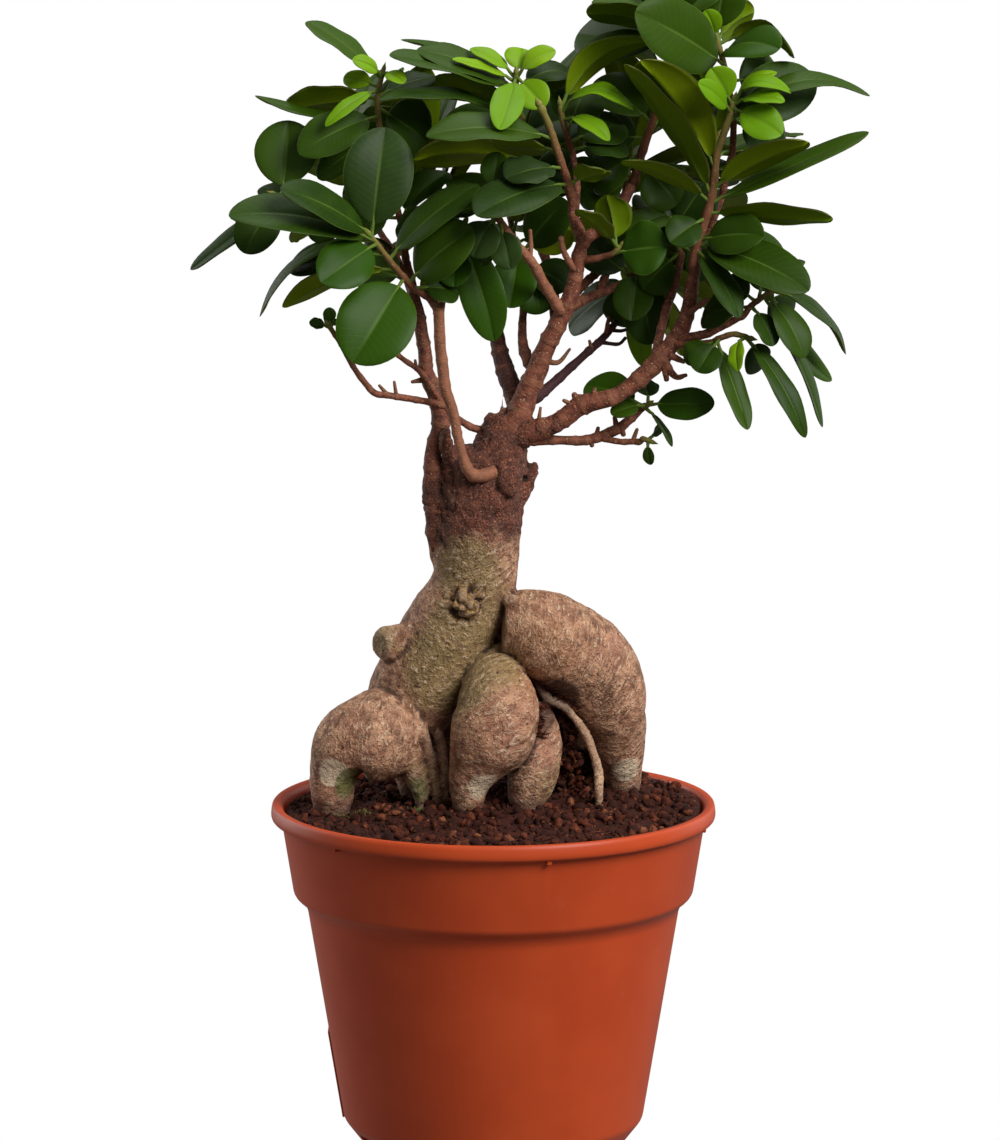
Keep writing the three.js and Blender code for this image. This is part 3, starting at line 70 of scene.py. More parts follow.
SWOLLEN = {
    "trunk": [
        [-3.2, 188.4, 0, 5], [-3.4, 186.8, 0, 8.8], [-3.4, 184.4, 0, 10.4], [-4.2, 177, 0, 12.1],
        [-4.7, 168, 0, 12.3], [-4.8, 160, 0, 11.8], [-4.9, 154, 0, 11.2], [-6.8, 148, 0, 11.1],
        [-10.4, 141, 0, 11.9], [-15.8, 131, 1, 12.9], [-21.2, 121, 3, 12.4], [-23, 111, 5, 9.5],
        [-21, 100, 7, 5.5], [-20, 84, 8, 2.5]],
    "neck": [[1, 182, -1, 8.6], [2.2, 190, -1, 6.8], [3.6, 196.4, 0, 5.2]],
    "rightRoot": [
        [2.8, 140.2, -5.4, 7.2], [8.4, 139.8, -5, 10.2], [15.6, 136.8, -4, 12], [23.6, 131.4, -1, 12.2],
        [29, 123, 3, 11.5], [31.8, 114, 7, 9.4], [33.8, 105, 10, 7.2], [34.9, 97, 12, 5.2],
        [35, 85, 12, 3.4]],
    "frontRoot": [
        [3, 133.6, -3, 3.2], [1.6, 129.4, -5, 5.6], [0.8, 124.8, -9.5, 8.4], [1, 120, -12.8, 10.4],
        [1.2, 115, -14.5, 11.3], [-0.9, 109, -15.3, 10.9], [-4.4, 102, -15, 7.8],
        [-6.6, 95.5, -15, 5.2], [-7, 85, -15, 2.8]],
    "innerRoot": [
        [12, 119, -4, 3.5], [11.6, 112, -6, 6.3], [11.3, 105, -8, 7], [10.2, 98, -9, 6.6],
        [9, 91.5, -10, 4.6], [8.5, 84, -10, 2.6]],
    "leftRoot": [
        [-20, 112, -2, 7], [-27.6, 110.6, -5, 11.8], [-34.6, 108.8, -8, 12], [-40, 106.4, -9, 9.6],
        [-42.8, 101, -9, 6.9], [-43.5, 95, -9, 5.9], [-43.5, 85, -8, 4.2]],
    "backLeftRoot": [
        [-9, 140, 5, 7], [-12, 132, 12, 10], [-13, 122, 20, 11], [-13, 112, 26, 8.6],
        [-11, 103, 30, 5.6], [-10, 94, 32, 3.6], [-10, 84, 32, 2.2]],
    "backRightRoot": [
        [5, 141, 6, 6.5], [10, 134, 14, 9.6], [15, 124, 21, 10.4], [19, 113, 25, 8],
        [21, 104, 27, 5.2], [21, 95, 28, 3.4], [21, 84, 28, 2]],
}
SMALL_WOOD = {
    "leftFoot": [
        [-26, 110, -8, 7], [-23.3, 104, -9, 5], [-21, 98.5, -10, 2.9], [-19.3, 92, -10, 1.9],
        [-19, 84, -10, 1.2]],
    "rightString": [
        [11, 130, -4, 1.6], [14, 121, -7, 1.3], [20, 117, -7.4, 1.1], [25, 110, -6, 1.1],
        [27.8, 102, -6, 1.3], [28.4, 95, -8, 1.4], [28.2, 84, -9, 1]],
    "cleftStringLeft": [
        [-24, 120, -9, 1.2], [-19.5, 111, -10, 1.6], [-16.5, 102, -9, 1.3], [-15.4, 93, -9, 1.2],
        [-15, 84, -9, 1]],
    "cleftStringRight": [
        [-16, 116, -1, 1.6], [-13.6, 104, -7, 1.2], [-13.2, 94, -8, 1.2], [-13, 84, -8, 1]],
    "ridge": [[-13, 119.5, -4.5, 1.3], [-8, 124.5, -5.4, 1.5], [-2.5, 130.4, -6.5, 1.5]],
    "cutStub": [[-23, 136, -3, 5], [-28, 135.2, -4.5, 4.8], [-30.2, 134.8, -5.6, 4.2],
        [-30.8, 134.7, -6, 3]],
    "knot": [[-7.6, 145.6, -9, 3.6], [-7.6, 145.6, -12.4, 3.2], [-7.5, 145.6, -13.6, 2]],
    "rootScar": [[6, 146, -7, 2.6], [4, 147.2, -9.8, 1.6]],
    "rightSnag": [[4, 171, 0, 2], [8.3, 177, 0, 2.3], [10.5, 181, 0, 1.9], [11.5, 184.8, 0, 1.2]],
    "driedBract": [[-11.4, 182.6, -5.6, 1.2], [-12.6, 190, -6.5, 1.7], [-12.2, 194.4, -6, 0.5]],
    "neckKnob": [[1.5, 194, -2, 2.2], [-2, 196.9, -2, 1.6]],
    "neckLump": [[3, 184, -6, 4], [3.8, 178.6, -9, 3.4], [4.4, 175.6, -9.6, 1.6]],
    "deadStick": [[1.8, 195, -2, 0.7], [2.6, 202.7, -2, 0.35]],
}
BRANCHES = {
    "left": [
        [-14.3, 158, -2, 2.4], [-15.4, 170, -4, 3.1], [-15.9, 180, -4, 2.8], [-16, 188.5, -3, 2],
        [-14, 195, -3, 2.4], [-14.8, 201, -2, 2.3], [-17.6, 208, -1, 2], [-18.3, 214, 0, 1.9],
        [-19.6, 222, 1, 1.7], [-21.3, 230, 3, 1.4], [-23, 238, 6, 1.1]],
    "frontLeft": [
        [0, 181.5, -10, 2], [-4.2, 180.9, -13, 1.8], [-6.8, 183, -13.6, 1.5], [-8.4, 187.5, -13, 1.3],
        [-9.8, 193, -12.5, 1.3], [-11, 199, -12, 1.4], [-12.8, 206, -12, 1.5], [-13.8, 213, -12, 1.5],
        [-14.2, 220, -12, 1.5], [-14.6, 225, -12.3, 1.4], [-16.4, 227.6, -12.8, 1.1]],
    "frontLeftFork": [[-14.3, 223, -12, 1.1], [-13, 231, -8, 1], [-11.5, 238, -5, 0.9]],
    "thinLeft": [
        [2, 192.4, 0, 1.6], [-2.5, 193, -1, 1.2], [-6, 194, -2, 1], [-10, 196.6, -3, 0.9],
        [-13, 199.6, -3.5, 0.9], [-16, 204, -3.5, 0.9], [-19.5, 208.6, -3, 0.8], [-24, 212, -3, 0.75],
        [-27.5, 215, -3, 0.7]],
    "outerLeft": [
        [-11.5, 199, -3.4, 0.9], [-16, 200.4, -5, 0.9], [-22, 201.4, -8, 0.9], [-28, 202.4, -10, 0.9],
        [-31.5, 202.8, -11, 0.9], [-34, 205.2, -12, 0.8], [-37, 209.5, -12, 0.75],
        [-40, 215, -12, 0.65]],
    "farLeft": [[-22.6, 235, 5, 0.9], [-30, 242, 2, 0.9], [-40, 248, -2, 0.8],
        [-48, 252.4, -4, 0.8]],
    "backFarLeft": [[-20.6, 226, 2, 1.1], [-24, 236, 12, 1], [-30, 246, 24, 0.9]],
    "main": [
        [4, 190, -2, 4.4], [7, 198, -2, 3.4], [10.2, 206, -2, 2.9], [13, 213, -2, 2.6],
        [16.8, 220.5, -3, 2.4], [19.8, 227, -4, 2.2], [22.4, 236, -5, 1.9], [24.3, 243.5, -6, 1.7],
        [29.5, 247.5, -3, 1.5], [33.5, 252.5, 1, 1.4], [36.5, 258, 5, 1.3]],
    "middle": [[24, 242, -6, 1.6], [21.7, 250, -9, 1.4], [20.9, 254.6, -10.6, 1.2]],
    "arched": [[21.6, 250, -9, 1.1], [22.4, 258, -6, 0.9], [21.2, 266, -4.6, 0.8]],
    "fork": [[23, 238.6, -5, 1.2], [27.2, 239, -7.6, 0.9], [30, 239.8, -9, 0.8]],
    "darkLeft": [
        [7.4, 198, 3, 3], [4.4, 206, 7, 2.5], [2, 213, 11, 2.3], [0.9, 220, 15, 1.9],
        [-1.2, 229, 19, 1.4], [-6, 238, 23, 1.2]],
    "backLow": [[0.9, 219, 15, 1.3], [3, 229, 25, 1.1], [5, 238, 36, 1]],
    "slim": [
        [11.6, 208, -1, 2], [8.5, 214, 3.4, 1.5], [7.9, 221, 5, 1.1], [8.5, 228, 6, 1],
        [9, 234, 7, 0.8]],
    "crossing": [
        [18.4, 224.5, -5, 1.6], [14, 231.5, -8, 1.4], [10.2, 238, -11, 1.3], [6, 243, -13, 1.2],
        [3.4, 246.6, -14, 1.1]],
    "crossingSpur": [[9.8, 238, -11, 0.7], [10, 243, -11, 0.6], [9.8, 246.5, -11, 0.5]],
    "innerSpur": [[21.8, 236, -6, 0.9], [18.8, 240.5, -8, 0.8], [18, 244.5, -9, 0.7]],
    "backMiddle": [[16.9, 220, -3, 1.9], [16, 230, 10, 1.5], [13, 242, 20, 1.3],
        [10, 251, 28, 1.1]],
    "top": [[13.4, 240, 19, 1.1], [11, 250, 16, 1], [9, 258, 13, 0.9]],
    "right": [
        [7, 191.6, -3, 3.4], [13, 193.4, -5, 2.7], [18.5, 196, -6, 2.5], [24, 199.7, -7, 2.6],
        [30, 201.2, -8, 2.3], [35.5, 204, -8, 2.2], [40.5, 208.2, -8, 2.4], [45.5, 213.4, -8, 2.5],
        [49.4, 218.5, -8, 2.3], [51.6, 224.5, -9, 2], [52.6, 230, -9.4, 1.8], [53.3, 234.5, -9.8, 1.5]],
    "lowRight": [
        [8, 190.4, -4, 1.7], [15, 190.2, -3, 1.3], [22, 190.2, -2, 1.3], [28, 191.2, -1, 1.4],
        [33, 193.4, -1, 1.4], [37, 196.4, -1, 1.2], [39.2, 198.4, -1, 0.9]],
    "lowestRight": [[28, 191, -1, 0.9], [33, 190, -2, 0.8], [37.6, 189.9, -3, 0.8]],
    "darkRight": [
        [9.6, 201, -0.6, 2], [14, 204, 3, 1.5], [19, 208.4, 7, 1.2], [25, 213.7, 10, 1.1],
        [29.5, 218.2, 12, 1], [32.6, 221.8, 13, 0.9]],
    "darkRightSpur": [
        [28, 216.8, 12, 0.7], [31, 216.3, 12, 0.5], [33.6, 216.2, 12, 0.5], [35.2, 217.8, 12, 0.4]],
    "darkRightTwig": [[31, 220, 12.5, 0.7], [34, 219.7, 12, 0.5], [36.6, 220.5, 12, 0.45]],
    "frontRight": [
        [49.6, 217.4, -9, 1.4], [55, 218.4, -12, 1.2], [61, 220.9, -14, 1], [65.5, 223.3, -16, 0.9]],
    "hanging": [[48.6, 216.4, -9, 1.2], [53, 216, -12, 0.9], [57, 216.6, -14, 0.8]],
    "inner": [
        [43.2, 211.5, -6, 1.5], [44.2, 218, -3, 1.2], [46, 225, 0, 1.2], [48, 231, 2, 1.1],
        [49.6, 238, 4, 0.9]],
    "middleRight": [[20.4, 226, -2, 1.7], [25, 228.3, 2, 1.3], [30, 230.3, 6, 1.2],
        [35, 232.6, 10, 1]],
    "backInner": [[28, 229.6, 4, 1.2], [31, 238, 17, 1.1], [33, 247, 28, 1]],
    "backRight": [[50.9, 223, -9, 1.5], [53, 234, 6, 1.3], [54, 244, 18, 1.2],
        [56, 252, 27, 1.1]],
    "backFork": [[20.4, 228.6, -3, 1.5], [25, 233, 12, 1.2], [30, 237, 26, 1]],
    "topRight": [[55, 241, 14, 1], [60, 254, 12, 0.9], [63, 266, 10, 0.9]],
    "sideTwig": [[51.4, 223.8, -10, 0.9], [54, 226, -13, 0.8], [57, 228.2, -15, 0.6]],
}
SPURS = [
    [[-25.8, 201.8, -9, 0.6], [-26.4, 206, -9, 0.4]], [[-28, 202.3, -10, 0.7], [-30.4, 205, -10, 0.4]],
    [[-20.4, 209, -3, 0.6], [-20.8, 211.8, -3, 0.4]],
    [[-17.4, 206.8, -1.2, 0.9], [-21.6, 206, -3, 0.5]], [[12, 194.4, -5, 0.8], [12.6, 199, -5, 0.4]],
    [[22.8, 200.2, -7, 1.4], [21.6, 202.6, -7, 0.8]], [[22.5, 199.2, -7, 0.8], [18.8, 201, -7, 0.5]],
    [[26.6, 201.2, -8, 1], [27, 204, -8, 0.6]],
    [[14.5, 211.4, -2, 0.8], [17.5, 211.3, -2, 0.6], [20.4, 214.8, -2, 0.4]],
    [[26.3, 214.6, 10, 0.6], [25.6, 217, 10, 0.4]], [[30, 219, 12, 0.7], [30.8, 223.4, 12, 0.5]],
    [[27.4, 191.2, -1, 0.8], [28, 193.6, -1, 0.5]], [[26, 190.6, -1.5, 0.9], [26.4, 188.8, -1.5, 0.6]],
    [[33, 193.4, -1, 1], [32.4, 196.4, -1, 0.6]], [[34, 194, -1, 1], [34.8, 191.8, -1, 0.7]],
    [[37.2, 189.9, -2.8, 0.7], [38.4, 193.2, -2.6, 0.5]],
    [[45.4, 211.6, -9, 1.3], [48.6, 207.4, -10, 0.8], [51.4, 207.8, -10.5, 0.5]],
    [[46.6, 213.4, -9.4, 1.1], [50.8, 211.4, -10, 0.6]],
    [[45.4, 212, -9.4, 1.2], [46.2, 206.6, -9.6, 0.7]],
]
SHOOTS = {
    "left_front": {
        "on": "frontLeft",
        "twig": [[-20.5, 230.6, -14, 0.9], [-24, 234.2, -16, 0.9], [-27.3, 238.2, -18, 0.8],
            [-30.2, 242, -19, 0.75], [-32.4, 245, -20, 0.6]],
        "leaves": [
            [-31.5, 246, -28.5, 274, -15, 18.5, 0, 2], [-32.4, 245, -56, 258, -34, 15, 58, 2],
            [-31.5, 244, -70, 251, -32, 16, 51, 3], [-31, 243, -45.8, 232.8, -34, 14, 15, 1.5],
            [-24, 233.6, -37.5, 211.3, -30, 20.5, 5, 2], [-27.5, 239, -4, 259, -14, 15, -57, 2],
            [-22, 233, -5.5, 247, -22, 15.5, -28, 2], [-25.5, 236.8, -56.4, 227, -18, 14.5, 110, 2],
            [-29, 240, -54.5, 236.5, -12, 12, 45, 2], [-31.5, 244, -62.6, 224, -8, 10, 76, 6.6],
            [-21, 231.4, -9.2, 230, -5, 11, -40, 1], [-23, 233, -36.5, 237.5, -7, 13, 30, 1]],
    },
    "left_far": {
        "on": "farLeft",
        "twig": [[-52, 254, -5, 0.75], [-57.4, 256, -6, 0.7]],
        "leaves": [
            [-56, 255.8, -54.2, 276, 2, 17, -10, -1], [-55, 255, -80.6, 236.2, -6, 10, 66, 0.4],
            [-57, 255.6, -66.4, 240.6, -14, 12, 12, 1], [-51, 254, -61.4, 258.4, 6, 8, 40, 1],
            [-48.6, 253, -41, 246, 6, 12, 10, 1]],
    },
    "left_low": {
        "on": "outerLeft",
        "twig": [[-42, 218.4, -12.6, 0.65], [-43.6, 220.8, -13, 0.7]],
        "leaves": [
            [-43.6, 220.8, -49, 222, -14, 3.8, 40, 0.3], [-43.6, 220.8, -43.6, 226, -13, 3.6, 10, 0.3],
            [-43.4, 220.6, -41.4, 222.8, -14, 3, -30, 0.3]],
    },
    "left_top": {
        "on": "left",
        "twig": [[-24.5, 248, 5, 0.9], [-27.6, 262, 3, 0.9], [-30, 274, 1, 0.8],
            [-30.6, 282, 0, 0.75], [-29.2, 288.4, -1, 0.6]],
        "leaves": [
            [-30.6, 277, -51.5, 267, -8, 13, 32, 2], [-30.2, 276, -63, 282.8, -3, 8, 72, -2],
            [-31.4, 282, -54.8, 279, 7, 13.5, 122, 0.5], [-27.6, 286.6, -49.2, 302.2, 5, 13, 68, 1.2],
            [-31.6, 285, -39.6, 287.4, 4, 6, 30, 0.5], [-29.8, 287.4, -37, 292, -4, 5, 40, 1.5],
            [-29.2, 288, -23.4, 285.8, -7, 5, -45, 1.5], [-31.6, 284.4, -44.4, 274.6, -10, 4, 25, 2],
            [-29.8, 272, -46.6, 260.4, -2, 9, 30, 1], [-31, 279, -17, 270, 10, 17, -25, 1],
            [-31.4, 282, -15.4, 287.6, 5, 10, -55, 1], [-25.5, 252, -43, 263, 14, 15, 118, 2],
            [-24.6, 249, -12, 262, 12, 15, -60, 2], [-24.8, 250, -43, 248.6, 11, 15, 25, 1],
            [-23.6, 243, -34.6, 235.8, 11, 13, 20, 1], [-26, 256, -40, 256.5, 15, 14, 20, 1]],
    },
    "left_middle": {
        "on": "frontLeftFork",
        "twig": [[-10, 243, -4, 0.8], [-7.8, 248, -4, 0.7]],
        "leaves": [
            [-10.4, 242, -10.4, 231.6, -14, 9.5, 5, 1], [-11, 240, -15.6, 226.8, -9, 11, 158, 1],
            [-8, 247.5, -15.4, 251.9, -6, 9, 52, 1], [-9, 246, -26, 246.9, 2, 15, 40, 2],
            [-8.6, 246.4, 0.3, 217, -14, 12, 0, 2]],
    },
    "middle_front": {
        "on": "crossing",
        "twig": [[1.6, 249.4, -15, 0.9], [0, 252.4, -15.5, 0.8], [-1, 255.5, -15, 0.7]],
        "leaves": [
            [0.8, 251, -5.2, 239.4, -24, 10.5, 8, 1.5], [2, 249, 4.6, 236.2, -20, 8.5, 10, 1],
            [-1, 256, 1.4, 267.4, -13, 8, -10, 1], [-1, 255, -11, 261, -9, 10, 42, 1],
            [1, 250.6, -3.8, 237.4, -17, 8, 30, 1], [0.6, 252, -10.5, 251.4, -8, 11, 60, 1]],
    },
    "middle_low": {
        "on": "slim",
        "twig": [[8.4, 238, 6, 0.8], [7, 242.6, 4, 0.7]],
        "leaves": [
            [7, 242.6, 4.4, 225.8, -4, 12.5, 5, 1.5], [8.6, 237, 12.5, 224.2, 2, 12, -15, 1.5],
            [8, 240, 20.4, 247.4, 3, 13, -150, 1.5], [8.6, 237.6, 20, 231.4, 9, 12, -30, 1],
            [7.4, 241, -4, 247, 9, 12, 60, 1], [7.8, 240.6, 19.6, 254.4, 9, 13, -20, 1]],
    },
    "middle_sprout": {
        "on": "middle",
        "twig": [[19.9, 258.6, -12, 1.1], [19, 262, -13, 1.05], [17.2, 267, -14, 1],
            [15.6, 272, -15, 0.95],
            [13.9, 276.6, -16, 0.9], [12.6, 279.2, -16.4, 1.1]],
        "leaves": [
            [15.8, 271, -17.6, 272.6, -22, 16, 62, 2.5], [17, 267.5, 0, 269.4, -7, 13, 116, 1],
            [18.6, 263.4, 3.4, 260.8, -22, 14, 58, 1], [19.8, 259, -4.4, 251, -23, 17, 52, 2],
            [20.2, 257.4, 8, 251.6, -10, 13, 110, 1], [20, 258.6, 30, 262.6, -18, 12, -120, 1]],
    },
    "middle_arched": {
        "on": "arched",
        "twig": [[19.8, 271, -5.4, 0.8], [18.4, 276, -6, 0.8], [17.8, 279.4, -6.4, 0.7]],
        "leaves": [
            [17.8, 279, 41, 297.8, -12, 13, -126, 6], [18, 278, 37, 279, -12, 7.5, -64, 6],
            [18.4, 276, 30.8, 270.6, -14, 6, -50, 3], [19.4, 272, 24, 284, 2, 15, -15, 1],
            [20, 270, 34.6, 275, 3, 14, -40, 1], [20.6, 268, 36, 267.4, -4, 12, -60, 1.5],
            [20.6, 268, 25, 257.6, -12, 10, -10, 1]],
    },
    "top_middle": {
        "on": "top",
        "twig": [[8, 266, 10, 0.9], [7, 274, 6, 0.85], [6.2, 281, 2, 0.8], [6, 287.6, -1, 0.8]],
        "leaves": [
            [6, 287, 1.8, 274, -24, 8.8, 8, 1], [6, 287.6, 13.4, 279.4, -11, 8.8, -12, 1],
            [6, 287, -6, 295, 2, 6.5, 58, 1.5], [5.9, 286, -10.6, 292.4, -5, 5.5, 68, 1],
            [6, 287.6, 7.4, 295, 3, 8.5, 0, 0.5], [6, 287, 16.4, 294.4, -2, 7.5, -48, 2],
            [6.2, 284, 21.4, 288.4, 5, 13, -60, 3], [6.3, 283, -27.4, 293.2, -5, 13, 70, 2],
            [6.5, 281, -18.4, 283.6, -1, 15, 118, 2], [6.2, 284, -20, 295, 9, 14, 63, 2],
            [6.4, 282.6, -24, 298.2, 22, 8, 70, 2], [6.9, 276, -30, 281.8, 3, 11, 74, 4],
            [8, 266, -21.6, 266.4, 0, 15.5, 122, 1.5], [7.6, 270, -14, 275, 13, 16, 20, 1],
            [7.4, 272, 23, 277, 15, 15, -30, 1], [8.2, 264, 22, 260, 13, 15, -30, 1]],
    },
    "upper_right": {
        "on": "main",
        "twig": [[38.4, 264, 4, 1.2], [41, 272, 1, 1.1], [44, 281, -2, 1], [46, 290, -3, 0.95],
            [47, 298, -3, 0.9], [47, 303, -3, 0.8]],
        "leaves": [
            [47, 302, 46.4, 319.5, -10, 18.5, 0, 2], [46.9, 299, 24.6, 304.6, 2, 13.5, 118, 2],
            [46.7, 297, 21.6, 299.4, 9, 17, 30, 1], [46.6, 294, 24, 296, -6, 9, 68, 3],
            [45.6, 288, 34, 297.4, 2, 10, 120, 1], [42, 275, 27.6, 287, 7, 16, 40, 1],
            [41, 272, 52, 285, 8, 15, -30, 1], [39.4, 267, 26, 258.6, 9, 15, 40, 1],
            [38.6, 264.6, 49, 253.6, 3, 15, -20, 1], [37.2, 260.8, 22.6, 255, 8, 13, 30, 1],
            [40.6, 271, 24, 271, 12, 15, 30, 1], [47, 302.6, 26.2, 307.4, -4, 9, 76, 2],
            [47, 303, 60.6, 312.6, 3, 15, -40, 2], [46.9, 301, 35, 315, 6, 15, 35, 1]],
    },
    "middle_fork": {
        "on": "fork",
        "twig": [[32, 240.6, -10, 0.75], [33.6, 242.2, -10.4, 0.7]],
        "leaves": [
            [31.6, 240.4, 46, 242.4, -16, 15, -18, 1], [32.6, 241.6, 30.4, 256, -6, 11, 158, 1],
            [33.2, 242, 22.4, 252.4, -8, 9, 120, 1], [33.6, 242.2, 45.6, 250.6, -8, 12, -50, 2]],
    },
    "middle_right": {
        "on": "middleRight",
        "twig": [[37.4, 235, 11, 0.9], [39.4, 238.6, 11, 0.75]],
        "leaves": [
            [38.6, 236.8, 36.8, 222.4, 1, 11, 8, 1], [36.4, 234, 33.2, 220.8, 9, 10.5, 10, 1],
            [38.4, 236, 41.8, 216, 7, 12.5, 0, 1], [38, 235.6, 39.8, 209.8, 12, 7.5, 20, 1],
            [36, 233.4, 19.8, 220.4, 15, 12, 42, 1.5], [39, 237.6, 48, 229, 9, 12, -20, 1],
            [39.4, 238.6, 33, 251, 13, 14, 30, 1], [36.4, 234, 24, 243.6, 15, 13, 30, 1]],
    },
    "right_inner": {
        "on": "inner",
        "twig": [[49, 243, 5, 0.85], [47.6, 248, 5, 0.75]],
        "leaves": [
            [49.4, 241, 36.2, 250.2, -2, 8, 76, 5], [49, 244.4, 43.2, 260, -3, 10, 58, 1],
            [49.4, 240.6, 40, 230.6, 7, 13, 30, 1], [49, 243, 59, 235.6, 5, 14, -30, 1],
            [48.4, 246.6, 56, 259, 9, 15, -20, 1], [49.6, 239.6, 44, 252.6, 6, 12, 20, 1]],
    },
    "right_top": {
        "on": "right",
        "twig": [[53.4, 239.5, -10.4, 1.35], [55.2, 246, -11, 1.25], [57, 251.6, -11, 1.2],
            [58.1, 257, -11, 1.1], [58.7, 262, -11, 1.05], [59.4, 267, -11, 1], [61, 272, -11.4, 0.95],
            [62.6, 277, -12, 0.9], [63.6, 280.6, -12.4, 0.8]],
        "leaves": [
            [63.4, 279.6, 57.6, 289.6, -17, 9.2, 10, 1], [62.8, 278, 54.6, 285.8, -21, 6.5, 42, 1],
            [63.4, 279, 76.4, 272.2, -20, 10, -20, 1.5], [63.8, 280.6, 78.8, 283.4, -15, 5.4, -52, 6],
            [63.8, 280.6, 74.8, 288.8, -10, 5.6, -52, 2], [63.6, 280, 77, 281, -20, 6.4, -62, 2],
            [62, 275, 99.6, 283.4, -17, 11, -64, 8], [62, 275.6, 84.6, 288, -1, 16.5, -10, 1],
            [57.2, 254, 99.2, 273.2, -16, 10, -62, 0], [58, 258, 83.2, 270.8, -25, 15, -118, 1],
            [57.2, 251.4, 90.2, 249.8, -21, 14, -113, -0.4], [58.8, 263, 39.2, 292, -19, 17.5, 142, 3],
            [57.8, 256, 35, 291, -13, 14.5, 116, 2], [58.3, 259, 50.6, 275.4, -7, 9, 30, 1],
            [57.4, 254.4, 34.4, 265.8, -20, 12.5, 110, 1.5],
            [54.8, 244, 71.6, 245.4, -20, 12.5, -30, 1], [54.2, 241.6, 65.6, 223.6, -26, 8, -35, 1.5],
            [54.4, 243, 84, 230.8, -27, 14.5, -38, 2.6], [55, 245.4, 77.6, 241.4, -9, 13, -58, 1],
            [56.4, 250, 47, 243.4, -18, 10, 20, 1]],
    },
    "right_back_top": {
        "on": "topRight",
        "twig": [[63.6, 275, 7, 0.85], [62.4, 284, 4, 0.85], [60.6, 292, 2, 0.8],
            [59, 297.4, 1, 0.75]],
        "leaves": [
            [60.8, 290.6, 38.4, 304.4, -12, 18, 22, 1.6], [59.4, 296, 79.6, 292.8, -3, 14.5, -114, 5],
            [59.2, 296.8, 56, 305, -5, 6, 10, 0.5], [60.4, 293, 75.6, 295, -4, 14, -58, 3],
            [59, 297, 61.6, 314, 1, 15, -20, 2], [59.2, 296.6, 68.8, 305, 5, 13, -128, 2],
            [63.4, 276, 77.4, 266.8, 12, 15, -30, 1], [63, 280, 48, 277, 11, 16, 30, 1],
            [62.2, 286, 76.8, 287.4, 9, 15, -20, 1]],
    },
    "right_front": {
        "on": "frontRight",
        "twig": [[68.6, 226.4, -17, 0.8], [71.8, 228.8, -17, 0.8], [74.6, 230.6, -17, 0.75]],
        "leaves": [
            [74.4, 230.5, 94, 213.4, -13, 8.5, -70, 4], [72.4, 229.6, 82.8, 212.4, -23, 10, -38, 2],
            [72, 229.2, 88, 193.8, -19, 8.5, -73, 1.4], [74, 230.4, 90.4, 206.4, -8, 9, -58, -3],
            [68.6, 226.4, 74.4, 215.6, -24, 8, -40, 1.5], [70, 227.6, 60.6, 232.6, -22, 10, 28, 1],
            [74.4, 230.6, 79.4, 239, -6, 12, -40, 1], [68.4, 226.2, 55.4, 223.8, -8, 13, 40, 1],
            [70.6, 228, 71.6, 238.4, -9, 12, 20, 1], [73.4, 230, 77.6, 221.4, -8, 10, -20, 1]],
    },
    "right_hanging": {
        "on": "hanging",
        "twig": [[60.5, 217.8, -16, 0.8], [64, 218.8, -17, 0.75], [67.6, 218, -18, 0.75]],
        "leaves": [
            [67.2, 218, 83.6, 191.2, -27, 6.6, -34, 3], [59.5, 217.4, 68, 193.2, -27, 6.8, -30, 0.4],
            [67, 218.4, 65.2, 208.8, -26, 5, 40, 2.5], [60.4, 217.8, 54.4, 208.6, -21, 9.5, 18, 1],
            [59, 217.2, 51, 211.4, -15, 7.5, 30, 1], [67.6, 218, 72, 209.4, -10, 9, -20, 1]],
    },
    "right_low": {
        "on": "lowRight",
        "twig": [[40.2, 199.2, -2, 0.8], [41.4, 200, -4, 0.75]],
        "leaves": [
            [41.2, 199.9, 58.8, 200.2, -13, 9.6, -25, 1], [40.4, 199.4, 24.4, 205.2, 5, 11.5, 33, 1.5],
            [42.6, 200.7, 40, 207.2, 1, 8, 30, 1], [40.4, 199.4, 48, 188.8, -9, 3, -55, 1],
            [41, 199.6, 31.4, 197.4, -4, 7, 50, 1]],
    },
    "right_lowest": {
        "on": "lowestRight",
        "twig": [[40, 190.6, -4, 0.75], [41.4, 190.2, -4.6, 0.7]],
        "leaves": [
            [41.2, 190.2, 42, 183.6, -5, 3.4, 25, 0.5], [41.6, 190.2, 45.2, 195.2, -6, 3, 40, 0.5]],
    },
}
BACK_SHOOTS = {
    "back_far_left": {"on": "backFarLeft", "count": 9,
                      "twig": [[-35, 255, 29, 0.9], [-38, 265, 31, 0.8]]},
    "back_left": {"on": "darkLeft", "count": 10, "twig": [[-12, 250, 27, 1], [-18, 264, 30, 0.8]]},
    "back_low": {"on": "backLow", "count": 9, "twig": [[5, 247, 46, 0.9], [3, 257, 52, 0.8]]},
    "back_middle": {"on": "backMiddle", "count": 10, "twig": [[9, 262, 33, 1], [8, 275, 35, 0.8]]},
    "back_inner": {"on": "backInner", "count": 10, "twig": [[35, 257, 35, 0.9], [37, 272, 37, 0.8]]},
    "back_fork": {"on": "backFork", "count": 10, "twig": [[35, 240, 32, 0.9], [41, 245, 37, 0.8]]},
    "back_right": {"on": "backRight", "count": 10, "twig": [[58, 262, 33, 1], [60, 275, 34, 0.8]]},
}
BACK_LEAF = {
    "short": 26, "long": 37, "slender": 0.46, "droop": 0.22, "bow": 2, "firstAt": 1.4,
    "widest": 1.35, "closest": 0.55, "faceUp": 0.6, "turnStep": 0.45,
}
DEPTH_TRIES = [0, 3, -3, 6, -6, 9, -9, 12, -12, 16, -16, 20, -20]

